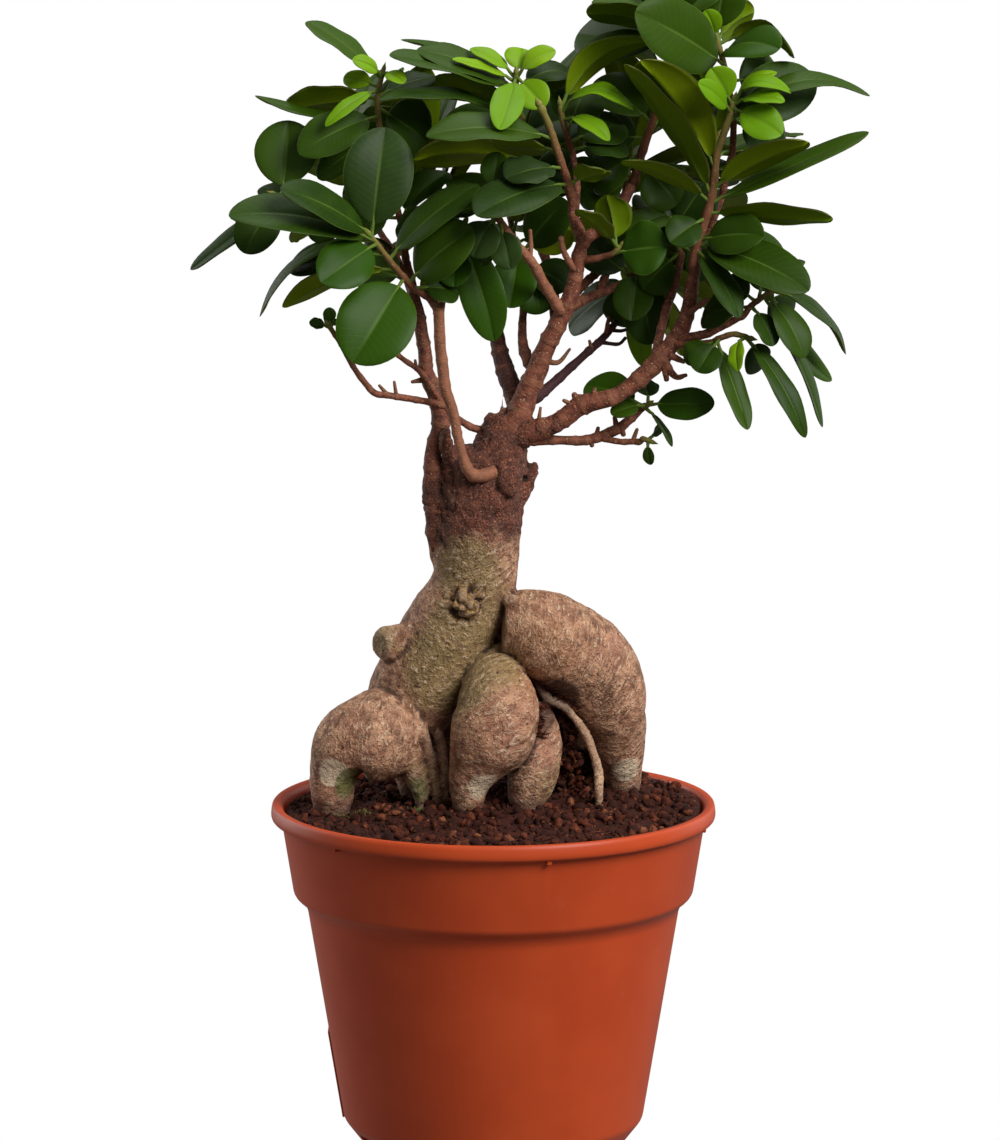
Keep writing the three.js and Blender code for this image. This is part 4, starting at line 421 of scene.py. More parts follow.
# Leaves that are still young and bright, and leaves half way to dark, by their place in the row
YOUNG = {
    "left_top": (4, 5, 6, 7), "top_middle": (0, 1, 2, 3, 4, 5), "middle_arched": (1, 2),
    "right_top": (0, 1, 2, 3, 4, 5), "middle_right": (3,), "right_hanging": (2,),
    "right_back_top": (2,),
}
FRESH = {
    "left_front": (3, 4), "middle_arched": (0,), "right_back_top": (1, 3), "left_middle": (0, 4),
    "middle_low": (0, 1), "middle_fork": (0,), "right_low": (0, 1), "middle_right": (4,),
}


# Arithmetic on arrays of places

# The whole numbers that mix a lattice corner's value, and the multiplier and step of the dice
LATTICE = (73856093, 19349663, 83492791)
FIRST_MIX, SECOND_MIX = 739982445, 695872825
DICE_TIMES, DICE_STEP = 1664525, 1013904223
WHOLE = 0xFFFFFFFF


def turns(count):
    """The angles of even steps round a circle."""
    return np.arange(count) / count * 2 * np.pi


def per_ring(values, rings):
    """One value for each ring, given to all of the ring's places."""
    return np.broadcast_to(values[:, None], rings.shape[:2])


def unit(vectors):
    """Vectors divided by their lengths."""
    return vectors / np.maximum(np.linalg.norm(vectors, axis=-1, keepdims=True), 1e-9)


def seen(rows):
    """Places seen at (across, up) on the plane through the trunk, carried back along the sight line
    by their depth: eye + (place - eye) * (1 + depth / the eye's distance)."""
    rows = np.atleast_2d(np.asarray(rows, float))
    plane = np.stack([rows[:, 0], np.zeros(len(rows)), rows[:, 1]], axis=1)
    return EYE + (plane - EYE) * (1 + rows[:, 2:3] / -EYE[1])


def flattened(places):
    """Where places are seen on the plane through the trunk: the sight line is cut at zero depth."""
    places = np.atleast_2d(places)
    return EYE + (places - EYE) * (EYE[1] / (EYE[1] - places[:, 1:2]))


def spline(rows, per_span):
    """A smooth curve through rows of numbers: each span is the cubic whose slopes at its ends are
    half the difference of the neighbouring rows."""
    rows = np.asarray(rows, float)
    padded = np.vstack([2 * rows[0] - rows[1], rows, 2 * rows[-1] - rows[-2]])
    t = (np.arange(per_span) / per_span)[None, :, None]
    a, b, c, d = (padded[i:len(padded) - 3 + i, None] for i in range(4))
    spans = b + 0.5 * t * (c - a + t * (2 * a - 5 * b + 4 * c - d + t * (3 * (b - c) + d - a)))
    return np.vstack([spans.reshape(-1, rows.shape[1]), rows[-1:]])


def noise(places, size, seed):
    """Smooth random values from -1 to 1: every corner of a lattice gets a value by mixing its whole
    numbers, and a place takes the eased blend of the eight corners round it."""
    scaled = places / size + 19.19 * seed + 100.5
    cell = np.floor(scaled).astype(np.int64)
    part = scaled - cell
    part = part * part * (3 - 2 * part)
    total = np.zeros(len(places))
    for corner in np.ndindex(2, 2, 2):
        x, y, z = ((cell + np.array(corner)) * LATTICE).T
        mixed = (x ^ y ^ z) & WHOLE
        mixed = ((mixed ^ (mixed >> 15)) * FIRST_MIX) & WHOLE
        mixed = ((mixed ^ (mixed >> 12)) * SECOND_MIX) & WHOLE
        value = (mixed ^ (mixed >> 15)) / 2.0**31 - 1
        total += value * np.prod(np.where(np.array(corner) == 1, part, 1 - part), axis=1)
    return total


def layered(places, *layers):
    """Noises added up, each with its strength, its size in millimetres and its seed."""
    return sum(strength * noise(places, size, seed) for strength, size, seed in layers)


def eased(values, low, high):
    """0 below low, 1 above high, and the curve 3t^2 - 2t^3 between them."""
    t = np.clip((values - low) / (high - low), 0, 1)
    return t * t * (3 - 2 * t)


# Surfaces

# A direction that no path starts in, from which the first side of each path is taken
FIRST_SIDE = (0.31, 0.9, 0.27)
DOME_HEIGHT = 0.8


class Shell:
    """Closed surfaces gathered for one object: places in millimetres, faces and values per point."""

    def __init__(self):
        self.places = []
        self.quads = []
        self.triangles = []
        self.values = {}
        self.count = 0

    def rings(self, rings, **values):
        """Skin over rings of places that run anticlockwise about the path, closed by a point in the
        middle of the first ring and of the last. Values have one row for each ring."""
        rows, sides = rings.shape[:2]
        row = np.arange(rows - 1)[:, None] * sides
        j = np.arange(sides)
        k = (j + 1) % sides
        quads = np.stack([row + j, row + k, row + sides + k, row + sides + j], -1)
        start, end = rows * sides, rows * sides + 1
        last = (rows - 1) * sides
        fans = np.vstack([np.stack([np.full(sides, start), k, j], 1),
                          np.stack([np.full(sides, end), last + j, last + k], 1)])
        self.places.append(np.vstack([rings.reshape(-1, 3), rings[0].mean(0), rings[-1].mean(0)]))
        self.quads.append(quads.reshape(-1, 4) + self.count)
        self.triangles.append(fans + self.count)
        for name, value in values.items():
            ends = np.stack([value[0].mean(0), value[-1].mean(0)])
            value = value.reshape(rows * sides, *value.shape[2:])
            self.values.setdefault(name, []).append(np.concatenate([value, ends]))
        self.count += rows * sides + 2

    def piece(self, name, finish, slot, replaced=(), smooth_angle=None):
        """The gathered surfaces as one piece of the scene."""
        mesh = bpy.data.meshes.new(name)
        places = np.vstack(self.places) * MM
        quads, triangles = np.vstack(self.quads), np.vstack(self.triangles)
        corners = np.concatenate([quads.ravel(), triangles.ravel()]).astype(np.int32)
        sizes = np.concatenate([np.full(len(quads), 4), np.full(len(triangles), 3)])
        starts = np.concatenate([[0], np.cumsum(sizes)[:-1]])
        mesh.vertices.add(len(places))
        mesh.vertices.foreach_set("co", places.astype(np.float32).ravel())
        mesh.loops.add(len(corners))
        mesh.loops.foreach_set("vertex_index", corners)
        mesh.polygons.add(len(sizes))
        mesh.polygons.foreach_set("loop_start", starts.astype(np.int32))
        mesh.update(calc_edges=True)
        for key, parts in self.values.items():
            store(mesh, key, np.concatenate(parts))
        return finished(mesh, finish, replaced, smooth_angle)


def store(mesh, key, values):
    """Values per point as an attribute: one number, or a colour of up to four numbers. The one
    called uv becomes the mesh's map of two numbers."""
    if values.ndim == 1:
        mesh.attributes.new(key, "FLOAT", "POINT").data.foreach_set("value", values.astype(np.float32))
        return
    if key == "uv":
        corners = np.zeros(len(mesh.loops), np.int32)
        mesh.loops.foreach_get("vertex_index", corners)
        layer = mesh.uv_layers.new(name="grown")
        layer.data.foreach_set("uv", values[corners].astype(np.float32).ravel())
        return
    colours = np.ones((len(values), 4), np.float32)
    colours[:, :values.shape[1]] = values
    mesh.attributes.new(key, "FLOAT_COLOR", "POINT").data.foreach_set("color", colours.ravel())


def placed(name, data):
    """A new object in the scene, from its mesh, light or camera."""
    piece = bpy.data.objects.new(name, data)
    bpy.context.collection.objects.link(piece)
    return piece


def baked(blank, name):
    """The mesh of a blank with its modifiers applied. The blank itself is taken away."""
    graph = bpy.context.evaluated_depsgraph_get()
    mesh = bpy.data.meshes.new_from_object(blank.evaluated_get(graph))
    mesh.name = name
    bpy.data.objects.remove(blank)
    return mesh


def finished(mesh, finish, replaced=(), smooth_angle=None):
    """The object of a mesh, smooth, with its material, riding on the root body."""
    mesh.polygons.foreach_set("use_smooth", np.ones(len(mesh.polygons), bool))
    if smooth_angle is not None:
        mesh.set_sharp_from_angle(angle=math.radians(smooth_angle))
    mesh.materials.clear()
    mesh.materials.append(finish)
    piece = placed(mesh.name, mesh)
    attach(piece, "root")
    if replaced:
        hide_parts(*replaced)
    return piece


def carried(centres):
    """The direction of a path and two square sides along it: each side is the one before it with
    its part along the path taken away."""
    ahead = unit(np.gradient(centres, axis=0))
    side = np.array(FIRST_SIDE)
    sides = []
    for direction in ahead:
        side = side - direction * side.dot(direction)
        side = side / np.linalg.norm(side)
        sides.append(side)
    sides = np.array(sides)
    return ahead, sides, np.cross(ahead, sides)


def lengths_along(centres):
    """How far along a path each of its places lies."""
    steps = np.linalg.norm(np.diff(centres, axis=0), axis=1)
    return np.concatenate([[0], np.cumsum(steps)])


def rounded_end(centres, radii):
    """A path with a low dome on its end: centres go on by height * radius * sin(turn) and the radius
    shrinks by cos(turn)."""
    turn = np.radians([25, 50, 70, 84])
    onward = unit(centres[-1] - centres[-2])
    dome = centres[-1] + onward * (DOME_HEIGHT * radii[-1] * np.sin(turn))[:, None]
    return np.vstack([centres, dome]), np.concatenate([radii, radii[-1] * np.cos(turn)])


def tube_rings(centres, radii, sides, ripple=None):
    """Rings round a path: centre + radius * (cos(turn) * side + sin(turn) * other side). Ripple is
    a function of places that gives a share of the radius to add."""
    ahead, side, other = carried(centres)
    turn = turns(sides)
    out = side[:, None] * np.cos(turn)[None, :, None] + other[:, None] * np.sin(turn)[None, :, None]
    rings = centres[:, None] + out * radii[:, None, None]
    if ripple is not None:
        share = ripple(rings.reshape(-1, 3)).reshape(rings.shape[:2])
        rings = centres[:, None] + out * (radii[:, None] * (1 + share))[:, :, None]
    return rings


# Trunk and swollen roots

WOOD_VOXEL = 0.00062
# Branches whose feet are fused with the trunk, a little thicker there than they grow on
BRANCH_FEET = ("main", "right", "darkLeft", "left")
FOOT_SWELL = 1.04
# Heights between which the branches' bark, the graft's bark and the soil's stain come and go
LIMBS_RISE = (196, 203)
GRAFT_RISE = (157, 171)
STAIN_FALL = (92, 100)
# Patches of colour on the trunk, each a sum of spots: strength, across, up, depth and reach. Olive is on
# the trunk's middle, under the right root and on the feet of the thin roots. Pale is where they are
# worn. Behind is painted shade on the foot of the branch that runs back behind the trunk. Dirt and shade
# is where soil clings, together with painted shade in the dark cleft between the inner and the right
# root.
PATCHES = {
    "olive": [(0.9, -10, 128, -12, 22), (0.6, -6, 150, -10, 18), (0.3, 8, 124, -14, 13),
              (0.7, -32, 137, -8, 9), (0.5, -18, 97, -14, 12), (0.5, 16, 97, -12, 10),
              (0.4, -8, 160, -10, 12)],
    "moss": [(1.5, -37.5, 95.5, -17, 8), (1.2, -20, 94, -15, 7)],
    "warm": [(0.9, 12, 131, -14, 15), (0.4, -6, 112, -18, 14)],
    "pale": [(1.3, -43.5, 99.5, -17, 6), (0.8, -3, 96, -20, 7), (0.8, 36, 100, 4, 7)],
    # painted shade on the foot of the branch that runs back behind the trunk
    "behind": [(1, 4.4, 206, 7, 9), (1, 2, 213, 11, 9)],
    "dirt_and_shade": [(1, 17, 122, -8, 10), (0.7, 14, 114, -12, 7)],
}
KNOT = (-7.6, 146, -12, 8)


def limb(rows, per_span):
    """The centres and radii of a grown limb, smooth between its rows."""
    fine = spline(np.column_stack([seen(rows), np.asarray(rows, float)[:, 3]]), per_span)
    return fine[:, :3], np.maximum(fine[:, 3], 0.25)


def fused_wood():
    """The swollen roots, the trunk and the small wood on them as one mesh: fine tubes with a broad
    ripple of their radius, made one by a voxel remesh and eased where they meet."""
    shell = Shell()
    for seed, rows in enumerate(SWOLLEN.values()):
        centres, radii = limb(rows, 7)
        shell.rings(tube_rings(centres, radii, 48, lambda p: layered(p, (0.05, 9, seed))))
    for rows in SMALL_WOOD.values():
        centres, radii = limb(rows, 6)
        shell.rings(tube_rings(centres, radii, 20, lambda p: layered(p, (0.12, 2.5, 3))))
    for name in BRANCH_FEET:
        centres, radii = limb(BRANCHES[name][:3], 6)
        radii = radii * FOOT_SWELL
        shell.rings(tube_rings(centres, radii, 20, lambda p: layered(p, (0.08, 2.5, 4))))
    rough = shell.piece("rough_wood", None, "bark")
    remesh = rough.modifiers.new("one_body", "REMESH")
    remesh.mode = "VOXEL"
    remesh.voxel_size = WOOD_VOXEL
    easing = rough.modifiers.new("easing", "SMOOTH")
    easing.factor = 0.5
    easing.iterations = 4
    return baked(rough, "root_wood")


def array_of(items, key, width, kind=np.float32):
    """One value of every item of a mesh, as rows of a width."""
    values = np.zeros(len(items) * width, kind)
    items.foreach_get(key, values)
    return values.reshape(-1, width)


def places_of(mesh):
    """The points of a mesh in millimetres."""
    return array_of(mesh.vertices, "co", 3) / MM


def normals_of(mesh):
    """The normals of a mesh at its points."""
    return array_of(mesh.vertex_normals, "vector", 3).astype(float)


def hollowness(mesh, rounds):
    """How deep each point lies below its neighbours, averaged along the edges several times."""
    places = places_of(mesh)
    edges = array_of(mesh.edges, "vertices", 2, np.int32)
    here, there = np.concatenate([edges, edges[:, ::-1]]).T
    share = np.maximum(np.bincount(here, minlength=len(places)), 1)[:, None]
    mean = places.astype(float)
    for _ in range(rounds):
        sums = [np.bincount(here, column[there], len(places)) for column in mean.T]
        mean = np.stack(sums, 1) / share
    return ((mean - places) * normals_of(mesh)).sum(1)


def distance_along(places):
    """How far along its own limb each place lies, from the limb whose skin is nearest."""
    best = np.full(len(places), np.inf)
    along = np.zeros(len(places))
    for rows in list(SWOLLEN.values()) + list(SMALL_WOOD.values()):
        centres, radii = limb(rows, 7)
        reach = lengths_along(centres)
        gap = np.linalg.norm(places[:, None] - centres[None], axis=2) - radii[None]
        nearest = gap.argmin(1)
        distance = gap[np.arange(len(places)), nearest]
        line = unit(np.gradient(centres, axis=0))[nearest]
        exact = reach[nearest] + ((places - centres[nearest]) * line).sum(1)
        closer = distance < best
        best[closer] = distance[closer]
        along[closer] = exact[closer]
    return along


def near(places, across, up, depth, reach):
    """1 at a place on the tree, falling smoothly to 0 at a distance."""
    away = np.linalg.norm(places - seen([across, up, depth]), axis=1)
    return 1 - eased(away, 0.35 * reach, reach)


def patch(places, name):
    """The spots of a patch added up."""
    return sum(strength * near(places, *spot) for strength, *spot in PATCHES[name])


def store_parts(mesh, key, *parts):
    """Up to four values per point, each between 0 and 1, as one colour."""
    store(mesh, key, np.clip(np.stack(parts, 1), 0, 1))


def make_root_wood(finish):
    """The wood of trunk and roots: the fused tubes, pushed out and in by noise. It gives back the
    places in the crevices where soil clings."""
    mesh = fused_wood()
    places = places_of(mesh)
    along = distance_along(places)
    limbs = eased(places[:, 2] + 2 * noise(places, 4, 8), *LIMBS_RISE)
    graft = eased(places[:, 2] + 5 * noise(places, 5, 8), *GRAFT_RISE) * (1 - limbs)
    low = 1 - eased(places[:, 2], *STAIN_FALL)
    knot = near(places, *KNOT)
    # wrinkles run across the limb: the noise changes fast along it and slowly round it
    across_grain = places * 0.5 + along[:, None] * np.array([0.9, 0.7, 0.8])
    swell = layered(places, (0.5, 11, 1), (0.22, 4.5, 2))
    swell += layered(across_grain, (0.12, 1.0, 3)) + layered(places, (0.05, 1.5, 4))
    scaly = layered(places, (0.42, 3.2, 5), (0.26, 1.3, 6))
    scaly -= 0.4 * (np.abs(noise(places, 2.2, 7)) < 0.1)
    warts = 0.9 * noise(places, 2.0, 9) - 0.9 * (np.abs(noise(places, 2.4, 10)) < 0.16)
    places = places + normals_of(mesh) * (swell + graft * scaly + knot * warts)[:, None]
    mesh.vertices.foreach_set("co", (places * MM).astype(np.float32).ravel())
    mesh.update()
    places = places_of(mesh)
    hollow, fine_hollow = hollowness(mesh, 14), hollowness(mesh, 3)
    store(mesh, "hollow", np.clip(hollow / 0.9, -1, 1))
    store(mesh, "fine_hollow", np.clip(fine_hollow / 0.12, -1, 1))
    store(mesh, "across_grain", across_grain)
    spots = {name: patch(places, name) for name in PATCHES}
    store_parts(mesh, "limb", limbs, spots["behind"])
    store_parts(mesh, "zones", graft, spots["olive"], spots["warm"], low)
    store_parts(mesh, "patches", spots["moss"], spots["pale"], knot, spots["dirt_and_shade"])
    finished(mesh, finish, ("trunk",))
    return places[(hollow > 0.1) & (spots["dirt_and_shade"] > 0.3)]


# Branches

# How deep the painted shade on a branch is: nearly black on the branches deep in the crown, and paler
# bark on those near 0. Each of the others draws a value from a small span.
BRANCH_SHADE = {
    "darkRight": 1, "darkRightSpur": 1, "darkRightTwig": 1, "darkLeft": 0.62, "slim": 0.5,
    "left": 0.45, "farLeft": 0.4, "frontLeft": 0, "frontLeftFork": 0, "crossing": 0,
    "crossingSpur": 0, "innerSpur": 0, "thinLeft": 0.1, "outerLeft": 0.1, "lowRight": 0.1,
}
SHADE_AT_LEAST, SHADE_SPREAD = 0.12, 0.2
# Branches thicker than this have more sides, and leaf scars show on wood thinner than this
THICK_BRANCH, SCARRED_BELOW = 2.2, 3


def branch_ripple(seed):
    """Bark noise on a branch, as a share of its radius."""
    return lambda places: layered(places, (0.10, 2.4, seed), (0.05, 1.0, seed + 1))


def scar_rings(reach, draw, spacing):
    """Swellings where leaves once stood: a sum of narrow bells at irregular distances."""
    marks = np.cumsum(draw.uniform(0.55, 1.5, 60) * spacing)
    return np.exp(-((reach[:, None] - marks[None]) / 0.55) ** 2).sum(1)


def make_branch_wood(finish):
    """The branches and the bud spurs, which sway a little and carry leaf scars where they are thin."""
    draw = np.random.default_rng(SEEDS["branches"])
    shell = Shell()
    named = list(BRANCHES.items()) + [("", rows) for rows in SPURS]
    for seed, (name, rows) in enumerate(named):
        span = np.linalg.norm(np.diff(seen(rows), axis=0), axis=1).mean()
        centres, radii = limb(rows, max(3, int(span / 0.75)))
        reach = lengths_along(centres)
        if name:
            sway = [noise(centres, 7, seed + further) for further in (0, 50, 90)]
            ease = eased(reach, 0, 6) * eased(reach[-1] - reach, 0, 6)
            centres = centres + 0.35 * np.stack(sway, 1) * ease[:, None]
        scars = scar_rings(reach, draw, 3.2 + radii.mean())
        radii = radii * (1 + 0.13 * scars * (radii < SCARRED_BELOW))
        centres, radii = rounded_end(centres, radii)
        reach = lengths_along(centres)
        scars = np.concatenate([scars, np.zeros(len(reach) - len(scars))])
        rings = tube_rings(centres, radii, 18 if radii.max() > THICK_BRANCH else 12, branch_ripple(seed))
        grain = rings * 0.5 + per_ring(reach, rings)[:, :, None] * np.array([0.9, 0.8, 0.7])
        tip = eased(1.5 - radii, 0.1, 1.1)
        # how deep the painted shade on this branch is; it goes out as the third number of the growth
        # attribute
        dark = BRANCH_SHADE.get(name, SHADE_AT_LEAST + SHADE_SPREAD * draw.random())
        growth = [per_ring(part, rings) for part in (np.clip(scars, 0, 1), tip, 0 * tip + dark)]
        shell.rings(rings, across_grain=grain, growth=np.stack(growth, 2))
    shell.piece("branch_wood", finish, "bark", ("trunk",))


# Leafy shoots

LEAF_COLUMNS = np.array([-1, -0.955, -0.82, -0.58, -0.3, -0.09, 0, 0.09, 0.3, 0.58, 0.82, 0.955, 1])
LEAF_ROWS = 19
LEAF_THICKNESS = 0.42
# The midrib's depth as a groove above and its height as a ridge below, each with its half width
# as a share of the blade's, and how far the blade's edge rolls down
GROOVE, GROOVE_WIDTH = 0.16, 0.05
RIDGE, RIDGE_WIDTH = 0.45, 0.08
EDGE_ROLL = 0.11
# The stalk's radii, and the bud's places beyond the twig's end and its share of the twig's radius
STALK_RADII = np.array([0.68, 0.55, 0.48, 0.45, 0.32, 0.24, 0.12])
BUD_PLACES = np.array([0.2, 0.5, 0.9, 1.5, 2.1, 2.7, 3.0])
BUD_SHARES = np.array([0.9, 0.72, 0.95, 0.85, 0.5, 0.2, 0.06])
# How leaves differ from each other: sideways bend and drooping tip as shares of the length, fold
# of the halves, twist, and the height and number of the edge's waves
SICKLE, RECURVE, FOLD, TWIST = 0.012, (0.0, 0.035), (0.10, 0.24), 0.10
WAVE_HEIGHT, WAVE_COUNT = (0.1, 0.4), (1.2, 2.4)
# A leaf is in the solid when its tip lies this near to a corner of it
TIP_MATCH = 0.05
# The tone's third number is 0 on a blade's upper side, 1 on its under side, and one of these on
# twigs and stalks
TWIG_MARK, STALK_MARK = 0.5, 0.75


def blade_half(along):
    """Half the width of a blade along its length, as a share of its width: a product of powers of
    the distances from stalk and tip."""
    return 0.5 * along**0.6 * (1 - along) ** 0.55 / WIDEST


def twig_path(shoot):
    """Centres and radii of a twig, which starts a hair beyond its branch's end and in line with it."""
    branch = seen(BRANCHES[shoot["on"]][-2:])
    onward = unit(branch[1] - branch[0])
    start = branch[1] + onward * np.array([[TWIG_GAP], [TWIG_LEAD]])
    radius = BRANCHES[shoot["on"]][-1][3]
    centres = np.vstack([start, seen(shoot["twig"])])
    return centres, np.array([radius, radius] + [row[3] for row in shoot["twig"]])


def nearest_on_twig(centres, across, up):
    """The place on a twig's middle line that is seen nearest to (across, up)."""
    flat = flattened(centres)[:, [0, 2]]
    spans = np.diff(flat, axis=0)
    share = ((np.array([across, up]) - flat[:-1]) * spans).sum(1) / (spans**2).sum(1)
    share = np.clip(share, 0, 0.98)
    gap = np.linalg.norm(flat[:-1] + spans * share[:, None] - [across, up], axis=1)
    i = gap.argmin()
    return centres[i] + (centres[i + 1] - centres[i]) * share[i]


def turned(vector, axis, angle):
    """A vector turned about a unit axis by the sum of its three parts in Rodrigues' formula."""
    return (vector * math.cos(angle) + np.cross(axis, vector) * math.sin(angle)
            + axis * axis.dot(vector) * (1 - math.cos(angle)))


def face_from_eye(base, tip, roll):
    """The way a leaf's face looks: at the eye, and rolled about the leaf by some degrees."""
    along = unit(tip - base)
    to_eye = unit(EYE - base)
    to_eye = unit(to_eye - along * to_eye.dot(along))
    return turned(to_eye, along, math.radians(roll))


def dice(seed):
    """The seeded draw of the part: a whole number carried on by one multiply and one add."""
    state = seed
    while True:
        state = (state * DICE_TIMES + DICE_STEP) & WHOLE
        yield state / (WHOLE + 1)


def in_solid(corners, tip):
    """Whether a shoot's solid has a leaf that ends at the tip."""
    return np.abs(corners - tip).sum(1).min() < TIP_MATCH


def front_leaves(shoot, centres, corners):
    """The listed leaves of a shoot: the depth of each is the one whose tip is in the solid."""
    for index, (x, z, tip_x, tip_z, depth, width, roll, bow) in enumerate(shoot["leaves"]):
        base = nearest_on_twig(centres, x, z)
        for shift in DEPTH_TRIES:
            tip = seen([tip_x, tip_z, depth + shift])[0]
            if in_solid(corners, tip):
                yield {"base": base, "tip": tip, "face": face_from_eye(base, tip, roll),
                       "width": width, "bow": bow, "index": index}
                break


def back_leaves(shoot, centres, corners, draw):
    """The leaves of a far-side shoot, a golden turn apart, each at the try that is in the solid."""
    count = shoot["count"]
    last = len(centres) - 1
    growth = unit(centres[last] - centres[1])
    sideways = unit(np.cross([0, 1, 0], growth))
    for step in range(count):
        first = BACK_LEAF["firstAt"]
        place = min(first + (last - first) * (step + 0.5) / count, last - 0.02)
        index = int(place)
        base = centres[index] + (centres[index + 1] - centres[index]) * (place - index)
        length = BACK_LEAF["short"] + (BACK_LEAF["long"] - BACK_LEAF["short"]) * next(draw)
        closing = (BACK_LEAF["widest"] - BACK_LEAF["closest"]) * (step + next(draw)) / count
        opening = BACK_LEAF["widest"] - closing
        for attempt in range(TURN_TRIES):
            out = turned(sideways, growth, GOLDEN_TURN * step + attempt * BACK_LEAF["turnStep"])
            heading = growth * math.cos(opening) + out * math.sin(opening)
            heading[2] -= BACK_LEAF["droop"]
            tip = base + unit(heading) * length
            if in_solid(corners, tip):
                yield {"base": base, "tip": tip, "face": growth + [0, 0, BACK_LEAF["faceUp"]],
                       "bow": BACK_LEAF["bow"], "width": length * BACK_LEAF["slender"], "index": step}
                break


def add_leaf(shell, leaf, age, draw):
    """One leaf: rings of a thin section carried from the stalk to the tip. The middle rises as
    4 * bow * t * (1 - t), and the tip droops by t^4. The halves lift from the midrib by
    fold * |s|, the edge rolls down by |s|^6 and waves by sin(t), and the section turns a little
    along the leaf."""
    base, tip = leaf["base"], leaf["tip"]
    length = np.linalg.norm(tip - base)
    along = (tip - base) / length
    up = unit(leaf["face"] - along * leaf["face"].dot(along))
    across = np.cross(along, up)
    stalk = min(PETIOLE_LENGTH, length * 0.25) / length
    t = 0.5 - 0.5 * np.cos(np.pi * np.linspace(0.035, 0.985, LEAF_ROWS))
    place = stalk + (1 - stalk) * t
    half = np.maximum(leaf["width"] * blade_half(t), 0.45 * (1 - t))
    sickle = draw.normal(0, SICKLE) * length
    fold, twist = draw.uniform(*FOLD), draw.normal(0, TWIST)
    recurve = draw.uniform(*RECURVE) * length
    wave, waves = draw.uniform(*WAVE_HEIGHT), draw.uniform(*WAVE_COUNT)
    phase = draw.uniform(0, 6.28, 2)
    rise = 4 * leaf["bow"] * place * (1 - place) - recurve * t**4
    lean = np.gradient(rise, place * length)
    centre = base + along * (length * place)[:, None] + up * rise[:, None]
    centre = centre + across * (sickle * 4 * t * (1 - t))[:, None]
    local_up = unit(up - along * lean[:, None])
    angle = twist * (t - 0.4)
    side = across * np.cos(angle)[:, None] + local_up * np.sin(angle)[:, None]
    local_up = unit(np.cross(side, unit(np.gradient(centre, axis=0))))
    s = np.concatenate([LEAF_COLUMNS, LEAF_COLUMNS[-2:0:-1]])
    under = np.concatenate([np.zeros(len(LEAF_COLUMNS)), np.ones(len(LEAF_COLUMNS) - 2)])
    reach = np.abs(s)
    ripple = wave * np.sin(2 * np.pi * waves * t[:, None] + np.where(s < 0, phase[0], phase[1])[None])
    high = half[:, None] * (fold * reach - EDGE_ROLL * reach**6)[None]
    high = high + ripple * (reach**2)[None] * np.minimum(half / 4, 1)[:, None]
    groove = -GROOVE * np.exp(-(reach / GROOVE_WIDTH) ** 2)
    ridge = -(LEAF_THICKNESS + RIDGE * np.exp(-(reach / RIDGE_WIDTH) ** 2))
    high = high + np.where(under == 1, ridge, groove)[None] * np.minimum(half / 2.5, 1)[:, None]
    rings = centre[:, None] + side[:, None] * (half[:, None] * s[None])[:, :, None]
    rings = rings + local_up[:, None] * high[:, :, None]
    grown = np.stack([np.broadcast_to(0.5 + 0.5 * s, high.shape), per_ring(t, rings)], 2)
    tone = np.broadcast_to([age, draw.random(), 0.0, draw.random()], (*high.shape, 4)).copy()
    tone[:, :, 2] = under
    shell.rings(rings, uv=grown, tone=tone)
    # the leaf's stalk, which runs on under the blade as its midrib
    run = np.array([0, 0.35, 0.7, 1.0])
    stem = base + (centre[0] - base) * run[:, None] - up * (0.2 * np.sin(np.pi * run))[:, None]
    below = centre[3:9:2] - local_up[3:9:2] * LEAF_THICKNESS
    stem_rings = tube_rings(np.vstack([stem, below]), STALK_RADII, 8)
    shell.rings(stem_rings, uv=np.full((*stem_rings.shape[:2], 2), 0.5),
                tone=np.broadcast_to([age, 0.5, STALK_MARK, 0.5], (*stem_rings.shape[:2], 4)))


def add_twig(shell, centres, radii, draw):
    """The twig: a fine tube with leaf scars, greener towards its end, and its pointed bud."""
    start = centres[0] - unit(centres[1] - centres[0]) * TWIG_BACK
    fine = spline(np.column_stack([np.vstack([start, centres[1:]]), radii]), 6)
    reach = lengths_along(fine[:, :3])
    scars = scar_rings(reach, draw, 3.4)
    thick = np.maximum(fine[:, 3] * (1 + 0.16 * scars), 0.3)
    onward = unit(fine[-1, :3] - fine[-3, :3])
    path = np.vstack([fine[:, :3], fine[-1, :3] + onward * BUD_PLACES[:, None]])
    thick = np.concatenate([thick, BUD_SHARES * thick[-1]])
    rings = tube_rings(path, thick, 10, branch_ripple(7))
    green = np.concatenate([reach / max(reach[-1], 1) / 1.3, np.ones(len(BUD_PLACES))])
    tone = np.zeros((*rings.shape[:2], 4))
    tone[:, :, 0] = green[:, None]
    tone[:, :, 2] = TWIG_MARK
    tone[:, :, 3] = draw.random()
    shell.rings(rings, uv=np.full((*rings.shape[:2], 2), 0.5), tone=tone)


